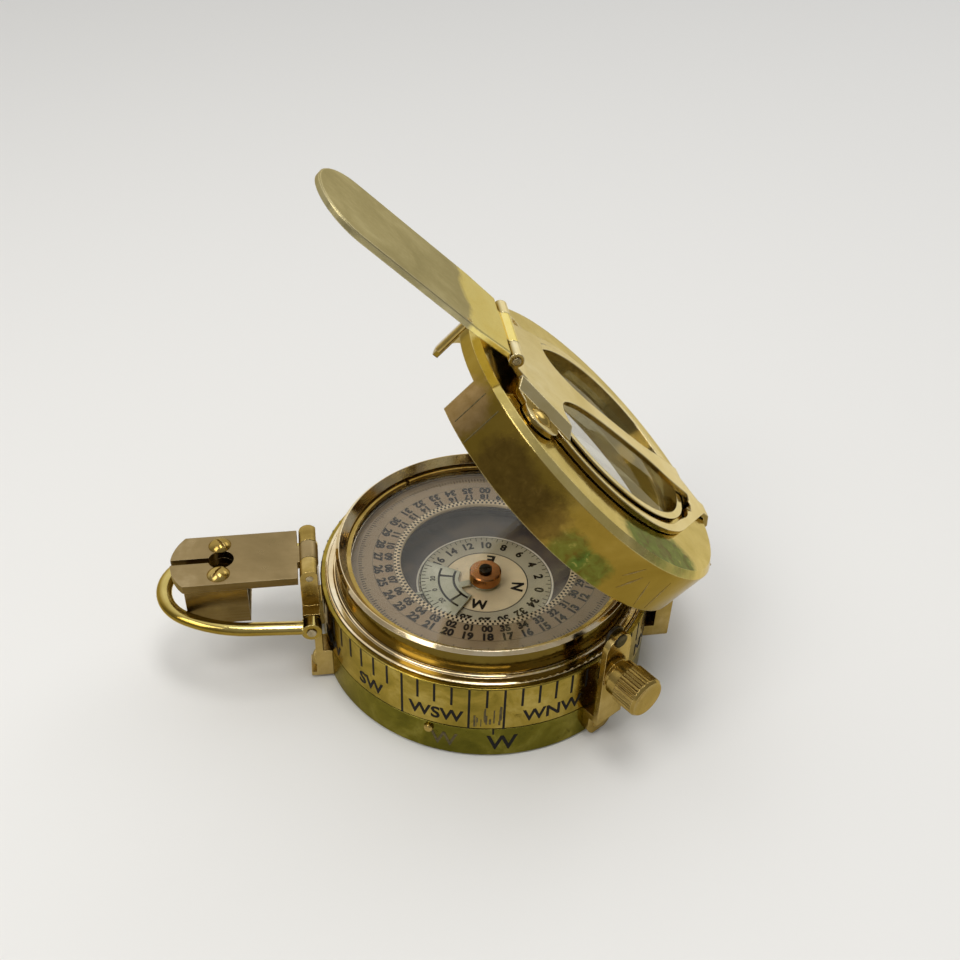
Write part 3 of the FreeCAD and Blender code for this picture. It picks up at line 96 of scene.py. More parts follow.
class Graph:
    """A material's node tree, with short calls for the nodes used here."""

    def __init__(self, name):
        self.material = bpy.data.materials.new(name)
        self.material.use_nodes = True
        self.tree = self.material.node_tree
        self.shader = self.tree.nodes["Principled BSDF"]

    def node(self, kind, **values):
        made = self.tree.nodes.new(kind)
        for key, value in values.items():
            setattr(made, key, value)
        return made

    def link(self, out, into):
        self.tree.links.new(out, into)

    def put(self, value, into):
        """Links an output, or sets a plain value."""
        if hasattr(value, "is_linked"):
            self.link(value, into)
        elif isinstance(value, tuple) and len(value) == 3:
            into.default_value = opaque(value)
        else:
            into.default_value = value

    def coords(self, scale=(1, 1, 1), turn=(0, 0, 0)):
        """Object coordinates in millimetres, stretched and turned."""
        source = self.node("ShaderNodeTexCoord").outputs["Object"]
        mapping = self.node("ShaderNodeMapping")
        self.link(source, mapping.inputs["Vector"])
        mapping.inputs["Scale"].default_value = [s / MM for s in scale]
        mapping.inputs["Rotation"].default_value = [t * DEG for t in turn]
        return mapping.outputs["Vector"]

    def noise(self, vector, scale, detail, rough, distort=0.0):
        made = self.node("ShaderNodeTexNoise")
        self.link(vector, made.inputs["Vector"])
        made.inputs["Scale"].default_value = scale
        made.inputs["Detail"].default_value = detail
        made.inputs["Roughness"].default_value = rough
        made.inputs["Distortion"].default_value = distort
        return made.outputs["Fac"]

    def ramp(self, value, stops, mode="LINEAR"):
        made = self.node("ShaderNodeValToRGB")
        made.color_ramp.interpolation = mode
        band = made.color_ramp.elements
        while len(band) < len(stops):
            band.new(0.5)
        for element, (at, colour) in zip(band, stops):
            element.position = at
            element.color = opaque(colour)
        self.link(value, made.inputs["Fac"])
        return made.outputs["Color"]

    def span(self, value, low, high, to_low=0.0, to_high=1.0):
        made = self.node("ShaderNodeMapRange")
        self.link(value, made.inputs["Value"])
        limits = {"From Min": low, "From Max": high, "To Min": to_low, "To Max": to_high}
        for name, number in limits.items():
            made.inputs[name].default_value = number
        return made.outputs["Result"]

    def math(self, how, a, b=0.0):
        made = self.node("ShaderNodeMath", operation=how)
        self.put(a, made.inputs[0])
        self.put(b, made.inputs[1])
        return made.outputs[0]

    def dot(self, vector, way):
        """The dot product with a fixed direction, or with another output."""
        made = self.node("ShaderNodeVectorMath", operation="DOT_PRODUCT")
        self.link(vector, made.inputs[0])
        if hasattr(way, "is_linked"):
            self.link(way, made.inputs[1])
        else:
            made.inputs[1].default_value = way
        return made.outputs["Value"]

    def mix(self, share, a, b, how="MIX"):
        made = self.node("ShaderNodeMix", data_type="RGBA", blend_type=how)
        for value, into in ((share, 0), (a, 6), (b, 7)):
            self.put(value, made.inputs[into])
        return made.outputs[2]

    def bump(self, height, depth, normal=None):
        made = self.node("ShaderNodeBump")
        made.inputs["Distance"].default_value = depth * MM
        made.inputs["Strength"].default_value = 1.0
        self.link(height, made.inputs["Height"])
        if normal is not None:
            self.link(normal, made.inputs["Normal"])
        return made.outputs["Normal"]

    def facing(self, way, low, high):
        """How squarely a surface faces along a direction, either way, spread from low to high."""
        normal = self.node("ShaderNodeTexCoord").outputs["Normal"]
        return self.span(self.math("ABSOLUTE", self.dot(normal, way)), low, high)

    def near(self, place, radius, ragged=0.5):
        """1 near a place in millimetres, with a ragged rim."""
        gap = self.node("ShaderNodeVectorMath", operation="DISTANCE")
        self.link(self.coords(), gap.inputs[0])
        gap.inputs[1].default_value = place
        rough = self.math("MULTIPLY", self.noise(self.coords(), 0.35, 5, 0.7), radius * ragged * 2)
        away = self.math("ADD", gap.outputs["Value"], rough)
        return self.span(away, radius * (1.15 + ragged), radius * (0.75 + ragged))

    def edges(self, radius):
        """A rounded normal, and how strongly each place lies on an edge."""
        round_off = self.node("ShaderNodeBevel", samples=6)
        round_off.inputs["Radius"].default_value = radius * MM
        flat = self.node("ShaderNodeNewGeometry").outputs["Normal"]
        turned = self.dot(round_off.outputs["Normal"], flat)
        return round_off.outputs["Normal"], self.span(turned, 0.995, 0.86)

    def finish(self, colour, rough, metallic, normal=None):
        self.put(colour, self.shader.inputs["Base Color"])
        self.put(rough, self.shader.inputs["Roughness"])
        self.shader.inputs["Metallic"].default_value = metallic
        if normal is not None:
            self.link(normal, self.shader.inputs["Normal"])
        return self.material


def metal(name, colour, deep, pale, rough, patch, stain, scratch, brushed=None, edge=0.22, wave=0.0,
          wall=None, patches=(), seed=0.0):
    """Worn metal: colour patches, stains, fine scratches, and edges brightened, partly rubbed wear and
    partly a painted highlight.
    """
    g = Graph(name)
    place = g.coords(turn=(seed * 13, seed * 31, seed * 57))
    broad = g.noise(place, patch, 4, 0.6, 0.8)
    fine = g.noise(place, patch * 7, 5, 0.65)
    tone = g.ramp(broad, [(0.3, deep), (0.52, colour), (0.75, pale)])
    spots = g.noise(place, 0.42, 6, 0.72, 0.6)
    stains = g.span(spots, 0.66 - 0.1 * stain, 0.72, 0, stain)
    tone = g.mix(stains, tone, tuple(c * STAIN_SHADE for c in deep))
    tone = g.mix(g.span(fine, 0.35, 0.75, 0.0, GRIME), tone, deep)
    # Painted shade: faces across the wall's direction are multiplied darker, standing for the dark
    # reflections on the sides.
    if wall is not None:
        tone = g.mix(g.facing(wall[0], *ON_WALL), tone, wall[1], "MULTIPLY")
    # Lid patches: most of them painted dark reflections, one a tan stain.
    for at, radius, share, stops, ways in patches:
        blot = g.ramp(g.noise(place, 0.45, 5, 0.65, 0.5), stops)
        over = g.math("MULTIPLY", g.near(at, radius), g.facing(LID_UP, *ways))
        tone = g.mix(g.math("MULTIPLY", over, share), tone, blot)
    normal, rim = g.edges(edge)
    # Edges mixed towards the pale colour: partly rubbed wear, partly a painted highlight.
    tone = g.mix(g.math("MULTIPLY", rim, EDGE_WEAR_AND_GLINT), tone, pale)
    lines = None
    for turn, stretch in SCRATCH_WAYS:
        fibre = g.span(g.noise(g.coords(stretch, turn), 1.0, 2, 0.5), 0.67, 0.73)
        lines = fibre if lines is None else g.math("MAXIMUM", lines, fibre)
    scored = g.math("MULTIPLY", lines, SCRATCH_ROUGH * scratch)
    gloss = g.math("ADD", g.span(fine, 0.3, 0.7, *rough), scored)
    gloss = g.math("ADD", gloss, g.math("MULTIPLY", stains, STAIN_ROUGH))
    if wave:
        normal = g.bump(g.noise(place, 0.16, 2, 0.4), wave, normal)
    if brushed is not None:
        stretch, depth = brushed
        grain = g.noise(g.coords(stretch), 1.0, 4, 0.7)
        normal = g.bump(grain, depth, normal)
        tone = g.mix(g.span(grain, 0.3, 0.75, 0.0, 0.35), tone, deep)
    worn = g.math("SUBTRACT", g.math("MULTIPLY", fine, 0.35), lines)
    normal = g.bump(worn, SCRATCH_DEPTH * scratch, normal)
    g.shader.inputs["Specular Tint"].default_value = EDGE_TINT
    return g.finish(tone, gloss, 1.0, normal)


def vane_metal(name):
    """Dull brushed blade, whose root is bright where the hand folds it: partly polish from handling,
    partly a painted highlight on the bent root.
    """
    g = Graph(name)
    place = g.coords()
    along = g.dot(place, BLADE_WAY)
    wander = g.noise(place, 0.09, 2, 0.5)
    reach = g.math("ADD", along, g.math("MULTIPLY", wander, 6.0))
    end = sum(a * b for a, b in zip(BLADE_WAY, BLADE_ROOT)) + BLADE_START + BRIGHT_ROOT_L
    dull = g.span(reach, end - BRIGHT_ROOT_BLUR, end + BRIGHT_ROOT_BLUR)
    blotch = g.noise(place, 0.10, 5, 0.6, 0.7)
    fine = g.noise(place, 0.9, 5, 0.7)
    grain = g.noise(g.coords((0.09, 2.6, 0.09)), 1.0, 4, 0.7)
    # Painted highlight, partly real polish: the root's bright gold ramp.
    polished = g.ramp(blotch, [(0.32, (0.88, 0.71, 0.20)), (0.7, (0.96, 0.83, 0.32))])
    brushed = g.ramp(blotch, [
        (0.3, (0.31, 0.265, 0.13)), (0.5, (0.39, 0.335, 0.17)), (0.72, (0.50, 0.44, 0.24))])
    brushed = g.mix(g.span(grain, 0.35, 0.7, 0.0, 0.35), brushed, (0.22, 0.19, 0.09))
    tone = g.mix(dull, polished, brushed)
    specks = g.span(g.noise(place, 0.55, 6, 0.75), 0.66, 0.73, 0, 0.55)
    tone = g.mix(specks, tone, (0.10, 0.075, 0.03))
    normal, rim = g.edges(0.35)
    # Edges mixed towards a pale colour: partly rubbed wear, partly a painted highlight.
    tone = g.mix(g.math("MULTIPLY", rim, 0.8), tone, (0.86, 0.76, 0.46))
    gloss = g.math("ADD", g.math("MULTIPLY", dull, 0.20), g.span(fine, 0.3, 0.7, 0.11, 0.24))
    normal = g.bump(grain, 0.008, normal)
    normal = g.bump(fine, 0.004, normal)
    g.shader.inputs["Specular Tint"].default_value = EDGE_TINT
    return g.finish(tone, gloss, 1.0, normal)


def paint(name, colour, other, rough=0.62):
    """A filled engraving or a printed line, slightly uneven."""
    g = Graph(name)
    mottled = g.noise(g.coords(), 1.3, 5, 0.7)
    tone = g.ramp(mottled, [(0.35, colour), (0.75, other)])
    g.shader.inputs["Specular IOR Level"].default_value = 0.15
    gloss = g.span(mottled, 0.3, 0.7, rough - 0.12, rough + 0.15)
    return g.finish(tone, gloss, 0.0, g.bump(mottled, 0.01))


def dial_face(name, rings):
    """Silvered dial in rings of colour, each from its radius out, a little stained and finely turned."""
    g = Graph(name)
    length = g.node("ShaderNodeVectorMath", operation="LENGTH")
    g.link(g.coords((1, 1, 0)), length.inputs[0])
    away = g.math("DIVIDE", length.outputs["Value"], DIAL_SPAN)
    place = g.coords()
    tone = g.ramp(away, [(r / DIAL_SPAN, colour) for r, colour in rings], "CONSTANT")
    blotch = g.noise(place, 0.11, 5, 0.62, 0.5)
    tone = g.mix(g.span(blotch, 0.38, 0.72, 0.0, 0.45), tone, (0.34, 0.27, 0.17))
    specks = g.span(g.noise(place, 1.1, 5, 0.75), 0.66, 0.74, 0, 0.6)
    tone = g.mix(specks, tone, (0.12, 0.10, 0.07))
    wave = g.node("ShaderNodeTexWave", wave_type="RINGS", rings_direction="Z")
    g.link(place, wave.inputs["Vector"])
    wave.inputs["Scale"].default_value = 1.4
    wave.inputs["Distortion"].default_value = 0.6
    wave.inputs["Detail"].default_value = 2
    normal = g.bump(wave.outputs["Fac"], 0.004)
    normal = g.bump(g.noise(place, 0.9, 4, 0.7), 0.01, normal)
    g.shader.inputs["Specular IOR Level"].default_value = 0.2
    return g.finish(tone, g.span(blotch, 0.3, 0.7, 0.34, 0.50), 0.2, normal)


def glass(name, tint, share):
    """Clear plate: most of the light goes straight through, and the rest is reflected."""
    g = Graph(name)
    smear = g.noise(g.coords(), 0.12, 4, 0.6, 0.6)
    g.shader.inputs["Alpha"].default_value = share
    return g.finish(tint, g.span(smear, 0.45, 0.8, 0.015, 0.075), 1.0)


# Patches on the lid, most of them painted dark reflections with green and brown tints: where the colour
# ramps lie, and on which of its surfaces.
# Painted reflection: near-black patches with a green rim, tinted like verdigris.
GREEN_DARK_REFLECTION = [
    (0.36, (0.012, 0.018, 0.004)), (0.48, (0.03, 0.085, 0.014)), (0.62, (0.06, 0.14, 0.026)),
    (0.72, (0.42, 0.36, 0.10))]
# Painted reflection: dark brown patches on the lid's wall.
BROWN_DARK_REFLECTION = [(0.3, (0.10, 0.058, 0.012)), (0.6, (0.17, 0.105, 0.022)), (0.75, (0.28, 0.18, 0.045))]
TANNED = [(0.3, (0.30, 0.185, 0.075)), (0.7, (0.44, 0.29, 0.14))]
ON_PLATE = (0.6, 0.9)
ON_WALL = (0.72, 0.35)
# Centre, radius, share, colours and surface of each patch.
LID_PATCHES = (
    ((25.0, -33.0, 55.0), 6.4, 1.0, GREEN_DARK_REFLECTION, ON_PLATE),
    ((29.7, -32.0, 50.7), 7.0, 1.0, GREEN_DARK_REFLECTION, ON_PLATE),
    ((33.8, -30.0, 46.8), 6.0, 1.0, GREEN_DARK_REFLECTION, ON_PLATE),
    ((9.0, -36.0, 56.8), 4.6, 0.55, GREEN_DARK_REFLECTION, ON_WALL),
    ((13.0, -37.2, 52.2), 4.6, 0.6, GREEN_DARK_REFLECTION, ON_WALL),
    ((-2.0, -26.0, 69.5), 6.5, 0.8, BROWN_DARK_REFLECTION, ON_WALL),
    ((3.5, -33.0, 63.0), 6.0, 0.8, BROWN_DARK_REFLECTION, ON_WALL),
    ((1.0, -30.0, 66.5), 5.0, 0.5, BROWN_DARK_REFLECTION, ON_WALL),
    ((-7.5, -13.0, 75.0), 6.0, 0.7, TANNED, ON_WALL),
)

# Each metal has its middle, deep and pale colours, its lowest and highest roughness, and the scale
# of its patches. A wall is a painted shade: a colour that multiplies what stands across a direction,
# so that sides come out darker than tops. Metals that share a scale differ by their seed.
BRASS = metal(
    "brass", (0.44, 0.31, 0.09), (0.25, 0.165, 0.038), (0.70, 0.53, 0.23),
    rough=(0.12, 0.28), patch=0.06, stain=0.30, scratch=0.5)
BEZEL = metal(
    "bezel_brass", (0.82, 0.67, 0.42), (0.58, 0.44, 0.24), (0.95, 0.86, 0.66),
    rough=(0.06, 0.16), patch=0.05, stain=0.22, scratch=0.4,
    wave=0.05, wall=(UP, (0.19, 0.155, 0.042)), seed=1)
LID = metal(
    "lid_brass", (0.66, 0.53, 0.19), (0.50, 0.39, 0.11), (0.84, 0.71, 0.34),
    rough=(0.07, 0.18), patch=0.045, stain=0.25, scratch=0.5,
    edge=0.35, wave=0.12, wall=(LID_UP, (0.46, 0.38, 0.17)), patches=LID_PATCHES, seed=9)
FRAME = metal(
    "frame_brass", (0.86, 0.74, 0.42), (0.72, 0.59, 0.27), (0.95, 0.86, 0.60),
    rough=(0.08, 0.18), patch=0.06, stain=0.12, scratch=0.4,
    edge=0.38, wave=0.08, wall=(LID_UP, (0.36, 0.30, 0.16)), seed=10)
# Band and base colours are darker than their brass: partly tarnish, partly painted shade for the dark
# reflections on these upright sides.
BAND = metal(
    "band_brass", (0.36, 0.26, 0.045), (0.20, 0.15, 0.02), (0.56, 0.43, 0.12),
    rough=(0.12, 0.26), patch=0.10, stain=0.55, scratch=0.7, seed=2)
BASE = metal(
    "base_brass", (0.16, 0.14, 0.017), (0.085, 0.078, 0.009), (0.33, 0.285, 0.06),
    rough=(0.14, 0.28), patch=0.09, stain=0.55, scratch=0.7, seed=11)
SATIN = metal(
    "satin_brass", (0.34, 0.25, 0.12), (0.24, 0.175, 0.08), (0.56, 0.44, 0.25),
    rough=(0.26, 0.40), patch=0.05, stain=0.12, scratch=0.5,
    brushed=((0.10, 2.4, 2.4), 0.004), wall=(UP, (0.42, 0.36, 0.2)), seed=3)
COPPER = metal(
    "copper", (0.42, 0.185, 0.065), (0.28, 0.11, 0.035), (0.70, 0.40, 0.20),
    rough=(0.16, 0.26), patch=0.10, stain=0.08, scratch=0.15, seed=4)
PALE = metal(
    "pendulum_metal", (0.44, 0.43, 0.31), (0.34, 0.34, 0.24), (0.58, 0.56, 0.44),
    rough=(0.34, 0.46), patch=0.10, stain=0.1, scratch=0.3, seed=5)
STEEL = metal(
    "pin_steel", (0.40, 0.33, 0.20), (0.22, 0.18, 0.10), (0.62, 0.54, 0.38),
    rough=(0.20, 0.36), patch=0.2, stain=0.3, scratch=0.5, seed=6)
DARK = metal(
    "dark_stud", (0.03, 0.026, 0.02), (0.012, 0.011, 0.009), (0.10, 0.085, 0.06),
    rough=(0.22, 0.40), patch=0.3, stain=0.3, scratch=0.5, seed=7)
MAGNET = metal(
    "magnet", (0.12, 0.12, 0.13), (0.06, 0.06, 0.065), (0.25, 0.25, 0.26),
    rough=(0.35, 0.5), patch=0.3, stain=0.3, scratch=0.5, seed=8)
VANE = vane_metal("vane_brass")
SCALE = dial_face("scale_silvered", [
    (0.0, (0.62, 0.50, 0.31)), (21.25, (0.10, 0.08, 0.05)), (21.4, (0.25, 0.175, 0.095)),
    (25.9, (0.08, 0.058, 0.03)), (26.02, (0.23, 0.165, 0.09)), (29.6, (0.18, 0.125, 0.065))])
FIXED_DIAL = dial_face("dial_ring_silvered", [(0.0, (0.26, 0.21, 0.15)), (28.0, (0.20, 0.16, 0.11))])
# Painted shade: from 16 mm out the card is dark, where the well between the card and the scale ring lies
# in shade.
CARD = dial_face("card_silvered", [
    (0.0, (0.84, 0.69, 0.42)), (9.8, (0.05, 0.045, 0.035)), (10.05, (0.50, 0.46, 0.32)),
    (15.35, (0.05, 0.05, 0.045)), (15.6, (0.84, 0.80, 0.66)), (16.0, (0.115, 0.10, 0.095)),
    (24.0, (0.06, 0.05, 0.05))])
GLASS = glass("glass", (0.95, 0.93, 0.86), 0.04)
LENS = glass("lens_glass", (0.42, 0.38, 0.17), 0.30)
INK = paint("black_fill", (0.004, 0.0035, 0.003), (0.016, 0.012, 0.008))
FADED = paint("faded_fill", (0.05, 0.04, 0.02), (0.17, 0.13, 0.05))
SCRATCH = paint("scratch_fill", (0.20, 0.13, 0.03), (0.42, 0.30, 0.10), 0.4)
GREY = paint("grey_fill", (0.20, 0.19, 0.17), (0.11, 0.10, 0.095))

FINISHES = {
    "band_brass": BAND, "brass": BRASS, "polished_brass": BRASS, "satin_brass": SATIN, "copper": COPPER,
    "pendulum_metal": PALE, "pin_steel": STEEL, "dark_stud": DARK, "magnet": MAGNET, "card": CARD,
    "glass": GLASS,
}
OWN_FINISHES = {
    "dial_ring": FIXED_DIAL, "scale_ring": SCALE, "base_case": BASE, "bezel_ring": BEZEL, "lid_shell": LID,
    "sight_frame": FRAME, "lens_ring": FRAME, "sight_vane": VANE, "thumb_loop": LID, "hub_cap": DARK,
    "lens": LENS,
}
for part in frame["record"]["subparts"]:
    slots = NODES[part["node"]].data.materials
    slots.clear()
    slots.append(OWN_FINISHES.get(part["node"], FINISHES[part["material_slot"]]))


# ---------------------------------------------------------------- marks

# A mark's skin starts this far under the surface that carries it and ends this far above it.
MARK_SINK = 0.02
MARK_PROUD = 0.05
# Words are cut in strips of this width, so that they bend round the band.
STRIP = 0.7


def outline_of(text, size, bold):
    """A word as a flat mesh in millimetres, centred, and cut in strips so that it bends smoothly."""
    curve = bpy.data.curves.new("word", "FONT")
    curve.body = text
    curve.size = size
    curve.offset = bold * size
    curve.align_x = "CENTER"
    curve.align_y = "CENTER"
    curve.resolution_u = 3
    holder = bpy.data.objects.new("word", curve)
    mesh = bpy.data.meshes.new_from_object(holder)
    made = bmesh.new()
    made.from_mesh(mesh)
    bpy.data.objects.remove(holder)
    bpy.data.curves.remove(curve)
    bpy.data.meshes.remove(mesh)
    reach = max(abs(v.co.x) for v in made.verts)
    at = -math.floor(reach / STRIP) * STRIP
    while at < reach:
        everything = made.verts[:] + made.edges[:] + made.faces[:]
        bmesh.ops.bisect_plane(made, geom=everything, plane_co=(at, 0, 0), plane_no=(1, 0, 0))
        at += STRIP
    return made


class Marks:
    """One mesh of many printed or engraved marks, laid on a dial or round a band."""

    def __init__(self, name, body, material, slot_name):
        self.mesh = bmesh.new()
        self.name, self.body, self.material, self.slot_name = name, body, material, slot_name

    def lay(self, flat, where):
        """Adds a flat mesh, mapped by where(x, y, lift), as a thin closed skin."""
        flat.verts.index_update()
        low = [self.mesh.verts.new(where(v.co.x, v.co.y, -MARK_SINK)) for v in flat.verts]
        high = [self.mesh.verts.new(where(v.co.x, v.co.y, MARK_PROUD)) for v in flat.verts]
        for face in flat.faces:
            ids = [v.index for v in face.verts]
            self.mesh.faces.new([high[i] for i in ids])
            self.mesh.faces.new([low[i] for i in reversed(ids)])
        for edge in flat.edges:
            if len(edge.link_faces) == 1:
                a, b = edge.verts[0].index, edge.verts[1].index
                self.mesh.faces.new([low[a], low[b], high[b], high[a]])
        flat.free()

    def ladder(self, rungs, where):
        """A strip of four-sided faces between two rows of points."""
        flat = bmesh.new()
        rows = [(flat.verts.new(a + (0,)), flat.verts.new(b + (0,))) for a, b in rungs]
        for (a, b), (c, d) in zip(rows, rows[1:]):
            flat.faces.new([a, c, d, b])
        self.lay(flat, where)

    def bar(self, width, height, where, steps=1):
        """A bar from (-width/2, 0) up to height."""
        across = [width * (i / steps - 0.5) for i in range(steps + 1)]
        self.ladder([((x, 0), (x, height)) for x in across], where)

    def arc(self, radius, width, start, end, z):
        steps = max(2, int((end - start) / 2))
        rungs = []
        for i in range(steps + 1):
            turn = (start + (end - start) * i / steps) * DEG
            rungs.append(tuple((r * math.cos(turn), r * math.sin(turn)) for r in (radius, radius + width)))
        self.ladder(rungs, lambda x, y, lift: Vector((x, y, z + lift)) * MM)

    def stroke(self, across, up, width, where):
        """A slender tapered scratch from (0, 0) to (across, up)."""
        side = Vector((-up, across)) / math.hypot(across, up) * width / 2
        middle = Vector((across, up)) / 2
        flat = bmesh.new()
        points = [Vector((0, 0)), middle - side, Vector((across, up)), middle + side]
        flat.faces.new([flat.verts.new((q.x, q.y, 0)) for q in points])
        self.lay(flat, where)

    def word(self, text, size, where, bold):
        self.lay(outline_of(text, size, bold), where)

    def done(self):
        bmesh.ops.recalc_face_normals(self.mesh, faces=self.mesh.faces[:])
        data = bpy.data.meshes.new(self.name)
        self.mesh.to_mesh(data)
        self.mesh.free()
        obj = bpy.data.objects.new(self.name, data)
        bpy.context.scene.collection.objects.link(obj)
        data.materials.append(self.material)
        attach(obj, self.body)


def round_band(radius, azimuth, z):
    """A place on an upright cylinder."""
    def where(x, y, lift):
        turn = azimuth * DEG + x / radius
        out = radius + lift
        return Vector((out * math.cos(turn), out * math.sin(turn), z + y)) * MM
    return where


def on_dial(radius, azimuth, z, outward=True):
    """A place on a dial: a mark's top points away from the centre, or towards it."""
    side = 1 if outward else -1

    def where(x, y, lift):
        turn = azimuth * DEG - side * x / radius
        out = radius + side * y
        return Vector((out * math.cos(turn), out * math.sin(turn), z + lift)) * MM
    return where


def on_lid(azimuth, z):
    """A place on the lid's wall, found with the lid closed and then swung open with it."""
    closed = round_band(LID_R, azimuth, z)

    def where(x, y, lift):
        at = closed(x, y, lift)
        dx, dz = at.x - LID_HINGE[0] * MM, at.z - LID_HINGE[1] * MM
        c, n = math.cos(LID_OPEN * DEG), math.sin(LID_OPEN * DEG)
        return Vector((LID_HINGE[0] * MM + dx * c + dz * n, at.y, LID_HINGE[1] * MM - dx * n + dz * c))
    return where


# The turning band: 64 ticks, with a word after every fourth one.
TICK_AT = -97.9
TICKS = 64
TICK_STEP = 360 / TICKS
SHORT_TICK = 5.4
TALL_TICK = BAND_TOP - BAND_LOW - 0.2
TICK_MARGIN = 0.15
TICK_W = 0.5
POINT_STEP = 22.5
WORD_SIZE = 4.7
WORD_Z = 12.3
SMEARS = 13
POINTS = ["WNW", "NW", "NNW", "N", "NNE", "NE", "ENE", "E", "ESE", "SE", "SSE", "S", "SSW", "SW", "WSW"]
WORD_AHEAD = {"WNW": -0.5, "SW": 4.0, "WSW": 6.0}
band_marks = Marks("band_engraving", "band", INK, "band_brass")
for i in range(TICKS):
    along = (i + TICKS // 2) % TICKS - TICKS // 2
    frames_a_point = along in (-5, -1, 1) or (along % 16 in (15, 1) and abs(along) > 8)
    height = TALL_TICK if frames_a_point else SHORT_TICK
    at = round_band(BODY_R, TICK_AT + i * TICK_STEP, BAND_TOP - TICK_MARGIN - height)
    band_marks.bar(TICK_W, height, at)
for i, name in enumerate(POINTS, 1):
    azimuth = TICK_AT + i * POINT_STEP + WORD_AHEAD.get(name, 3.0)
    band_marks.word(name, WORD_SIZE, round_band(BODY_R, azimuth, WORD_Z), 0.02)
band_marks.done()

# The W at the front of the band is worn down to smears.
worn_marks = Marks("band_worn_engraving", "band", FADED, "band_brass")
chance = random.Random(11)
for i in range(SMEARS):
    azimuth = TICK_AT + chance.uniform(-4.6, 4.6)
    width, height, low = (chance.uniform(*span) for span in ((0.12, 0.5), (1.2, 4.6), (9.6, 13.0)))
    worn_marks.bar(width, height, round_band(BODY_R, azimuth, low))
worn_marks.done()

# The base: W and E with an index line, and a W that was struck too lightly beside the first.
base_marks = Marks("base_engraving", "case", INK, "band_brass")
for name, azimuth in (("W", -92.5), ("E", 87.5)):
    base_marks.word(name, 6.2, round_band(BODY_R, azimuth, 4.3), 0.014)
base_marks.bar(0.4, 1.7, round_band(BODY_R, -95.5, 7.2))
base_marks.done()
faint_marks = Marks("base_faint_engraving", "case", FADED, "band_brass")
faint_marks.word("W", 5.8, round_band(BODY_R, -111.5, 4.4), 0.006)
faint_marks.done()

# The card: four points, figures and a circle of ticks.
CARD_TURN = -19
CARD_FIGURES = 18
CARD_TICKS = 72
card_marks = Marks("card_figures", "card", INK, "card")
for name, azimuth in (("N", 0), ("W", -90), ("S", 180), ("E", 90)):
    card_marks.word(name, 3.8, on_dial(7.9, azimuth + CARD_TURN, CARD_TOP, False), 0.04)
for i in range(CARD_FIGURES):
    azimuth = CARD_TURN + i * 360 / CARD_FIGURES
    card_marks.word("%d" % (i * 2), 2.9, on_dial(12.7, azimuth, CARD_TOP), 0.04)
for i in range(CARD_TICKS):
    card_marks.bar(0.16, 0.6 if i % 2 else 1.1, on_dial(15.4, i * 360 / CARD_TICKS, CARD_TOP, False))
card_marks.done()
grey_marks = Marks("card_outer_scale", "card", GREY, "card")
for i in range(CARD_TICKS):
    grey_marks.bar(0.4, 1.0 if i % 2 else 1.7, on_dial(21.6, i * 360 / CARD_TICKS, CARD_TOP))
grey_marks.done()

# The pendulum's fan: degrees of slope to either side of its middle, between arcs and two stops.
FAN_STEP = 4.5
fan_marks = Marks("pendulum_scale", "pendulum", INK, "pendulum_metal")
for i in range(-8, 9):
    fan_marks.bar(0.18, 1.7 if i % 4 == 0 else 0.9, on_dial(14.9, FAN_AZ + i * FAN_STEP, FAN_TOP, False))
for i in (-1, 0, 1):
    fan_marks.word("%d" % abs(i * 20), 1.7, on_dial(12.2, FAN_AZ + i * 4 * FAN_STEP, FAN_TOP), 0.008)
for radius, width, half in ((10.6, 0.5, 37), (7.1, 0.55, 39), (15.05, 0.16, 41)):
    fan_marks.arc(radius, width, FAN_AZ - half, FAN_AZ + half, FAN_TOP)
for turn in (-24, 24):
    fan_marks.bar(0.45, 3.4, on_dial(7.3, FAN_AZ + turn, FAN_TOP))
fan_marks.done()

# The fixed scale ring: two circles of figures, two rows of dots inside and fine ticks outside.
SCALE_FIGURES = 36
scale_marks = Marks("scale_ring_figures", "case", INK, "card")
for i in range(SCALE_FIGURES):
    opposite = (i + SCALE_FIGURES // 2) % SCALE_FIGURES
    for figure, size, radius in ((i, 2.4, 22.55), (opposite, 2.7, 24.95)):
        at = on_dial(radius, TICK_AT - i * 360 / SCALE_FIGURES, SCALE_TOP, False)
        scale_marks.word("%02d" % figure, size, at, 0.05)
for i in range(120):
    scale_marks.bar(0.45, 0.6, on_dial(19.9, i * 3, SCALE_TOP))
    scale_marks.bar(0.45, 0.5, on_dial(20.7, i * 3 + 1.5, SCALE_TOP))
for i in range(240):
    scale_marks.bar(0.17, 1.25 if i % 5 == 0 else 0.8, on_dial(29.3, i * 1.5, SCALE_TOP, False))
scale_marks.done()

# Two lines beside the notch in the lid's wall, and scratches low on its near side.
wall_marks = Marks("lid_wall_lines", "lid", FADED, "polished_brass")
for azimuth, low, high in ((202.0, 23.0, 31.4), (209.5, 22.4, 31.8)):
    wall_marks.bar(0.2, high - low, on_lid(azimuth, low), 2)
wall_marks.done()
# Each scratch runs from one azimuth and height to another.
SCRATCHES = (
    ((-84.9, 24.5), (-80.7, 29.5), 0.45), ((-87.2, 27.4), (-82.8, 31.4), 0.35),
    ((-71.8, 22.6), (-76.9, 29.4), 0.3), ((-65.3, 22.8), (-68.2, 30.9), 0.3))
scratches = Marks("lid_wall_scratches", "lid", SCRATCH, "polished_brass")
for start, end, width in SCRATCHES:
    across = (end[0] - start[0]) * DEG * LID_R
    scratches.stroke(across, end[1] - start[1], width, on_lid(*start))
scratches.done()


# ---------------------------------------------------------------- stage, lights and camera

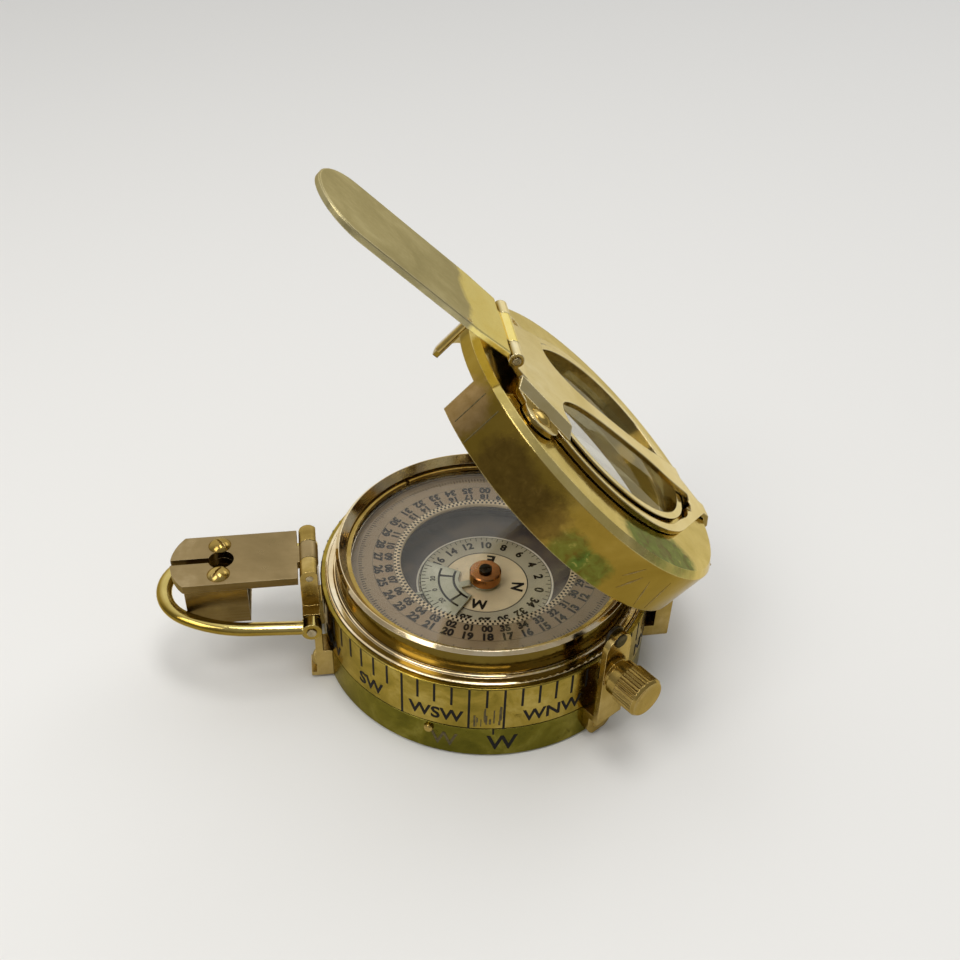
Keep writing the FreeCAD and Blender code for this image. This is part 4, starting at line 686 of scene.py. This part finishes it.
def emitter(name, where, target, size, power, colour):
    lamp = bpy.data.lights.new(name, "AREA")
    lamp.shape = "RECTANGLE"
    lamp.size, lamp.size_y = size
    lamp.energy = power
    lamp.color = colour
    obj = bpy.data.objects.new(name, lamp)
    bpy.context.scene.collection.objects.link(obj)
    obj.location = where
    obj.rotation_euler = (Vector(target) - Vector(where)).to_track_quat("-Z", "Y").to_euler()


emitter("key", (-0.42, -0.25, 0.62), (0, 0, 0.04), (0.30, 0.42), 1.75, (1.0, 0.97, 0.92))
emitter("top", (0.03, -0.06, 0.66), (0, 0, 0.03), (0.16, 0.30), 1.1, (1.0, 0.98, 0.95))
emitter("back", (0.62, 0.45, 0.55), (0, 0, 0.05), (0.50, 0.30), 0.8, (0.97, 0.98, 1.0))

# A pale room, brighter towards one side, which the brass reflects.
BRIGHT_SIDE = (-0.12, 0.86, 0.48)
ROOM_LEVELS = {"From Min": 0.30, "From Max": 0.80, "To Min": 0.36, "To Max": 0.92}
world = bpy.data.worlds.new("studio")
bpy.context.scene.world = world
world.use_nodes = True
tree = world.node_tree
light = tree.nodes["Background"]
sky = tree.nodes.new("ShaderNodeTexCoord")
toward = tree.nodes.new("ShaderNodeVectorMath")
toward.operation = "DOT_PRODUCT"
toward.inputs[1].default_value = Vector(BRIGHT_SIDE).normalized()
tree.links.new(sky.outputs["Generated"], toward.inputs[0])
panel = tree.nodes.new("ShaderNodeMapRange")
panel.interpolation_type = "SMOOTHSTEP"
for name, number in ROOM_LEVELS.items():
    panel.inputs[name].default_value = number
tree.links.new(toward.outputs["Value"], panel.inputs["Value"])
light.inputs["Color"].default_value = (1.0, 0.99, 0.97, 1)
tree.links.new(panel.outputs["Result"], light.inputs["Strength"])

FLOOR_HALF = 12.0
FLOOR_DROP = 0.02
floor_mesh = bmesh.new()
bmesh.ops.create_grid(floor_mesh, x_segments=1, y_segments=1, size=FLOOR_HALF)
floor_data = bpy.data.meshes.new("floor")
floor_mesh.to_mesh(floor_data)
floor_mesh.free()
floor = bpy.data.objects.new("floor", floor_data)
floor.location.z = -FLOOR_DROP * MM
bpy.context.scene.collection.objects.link(floor)
floor_data.materials.append(Graph("pale_floor").finish((0.80, 0.80, 0.79), 0.7, 0.0))

# The camera's place in millimetres, the way to its right and the way back from the object.
EYE = (-34.03, -188.97, 198.58)
EYE_RIGHT = (0.9891, -0.1442, 0.0287)
EYE_BACK = (-0.1306, -0.7723, 0.6217)
eye = bpy.data.cameras.new("camera")
eye.sensor_width = 36.0
eye.lens = 42.2
eye.clip_start = 0.01
camera = bpy.data.objects.new("camera", eye)
bpy.context.scene.collection.objects.link(camera)
bpy.context.scene.camera = camera
back = Vector(EYE_BACK).normalized()
up = back.cross(Vector(EYE_RIGHT).normalized()).normalized()
right = up.cross(back)
turned = Matrix((right, up, back)).transposed().to_4x4()
camera.matrix_world = Matrix.Translation(Vector(EYE) * MM) @ turned
bpy.context.scene.view_settings.view_transform = "Standard"
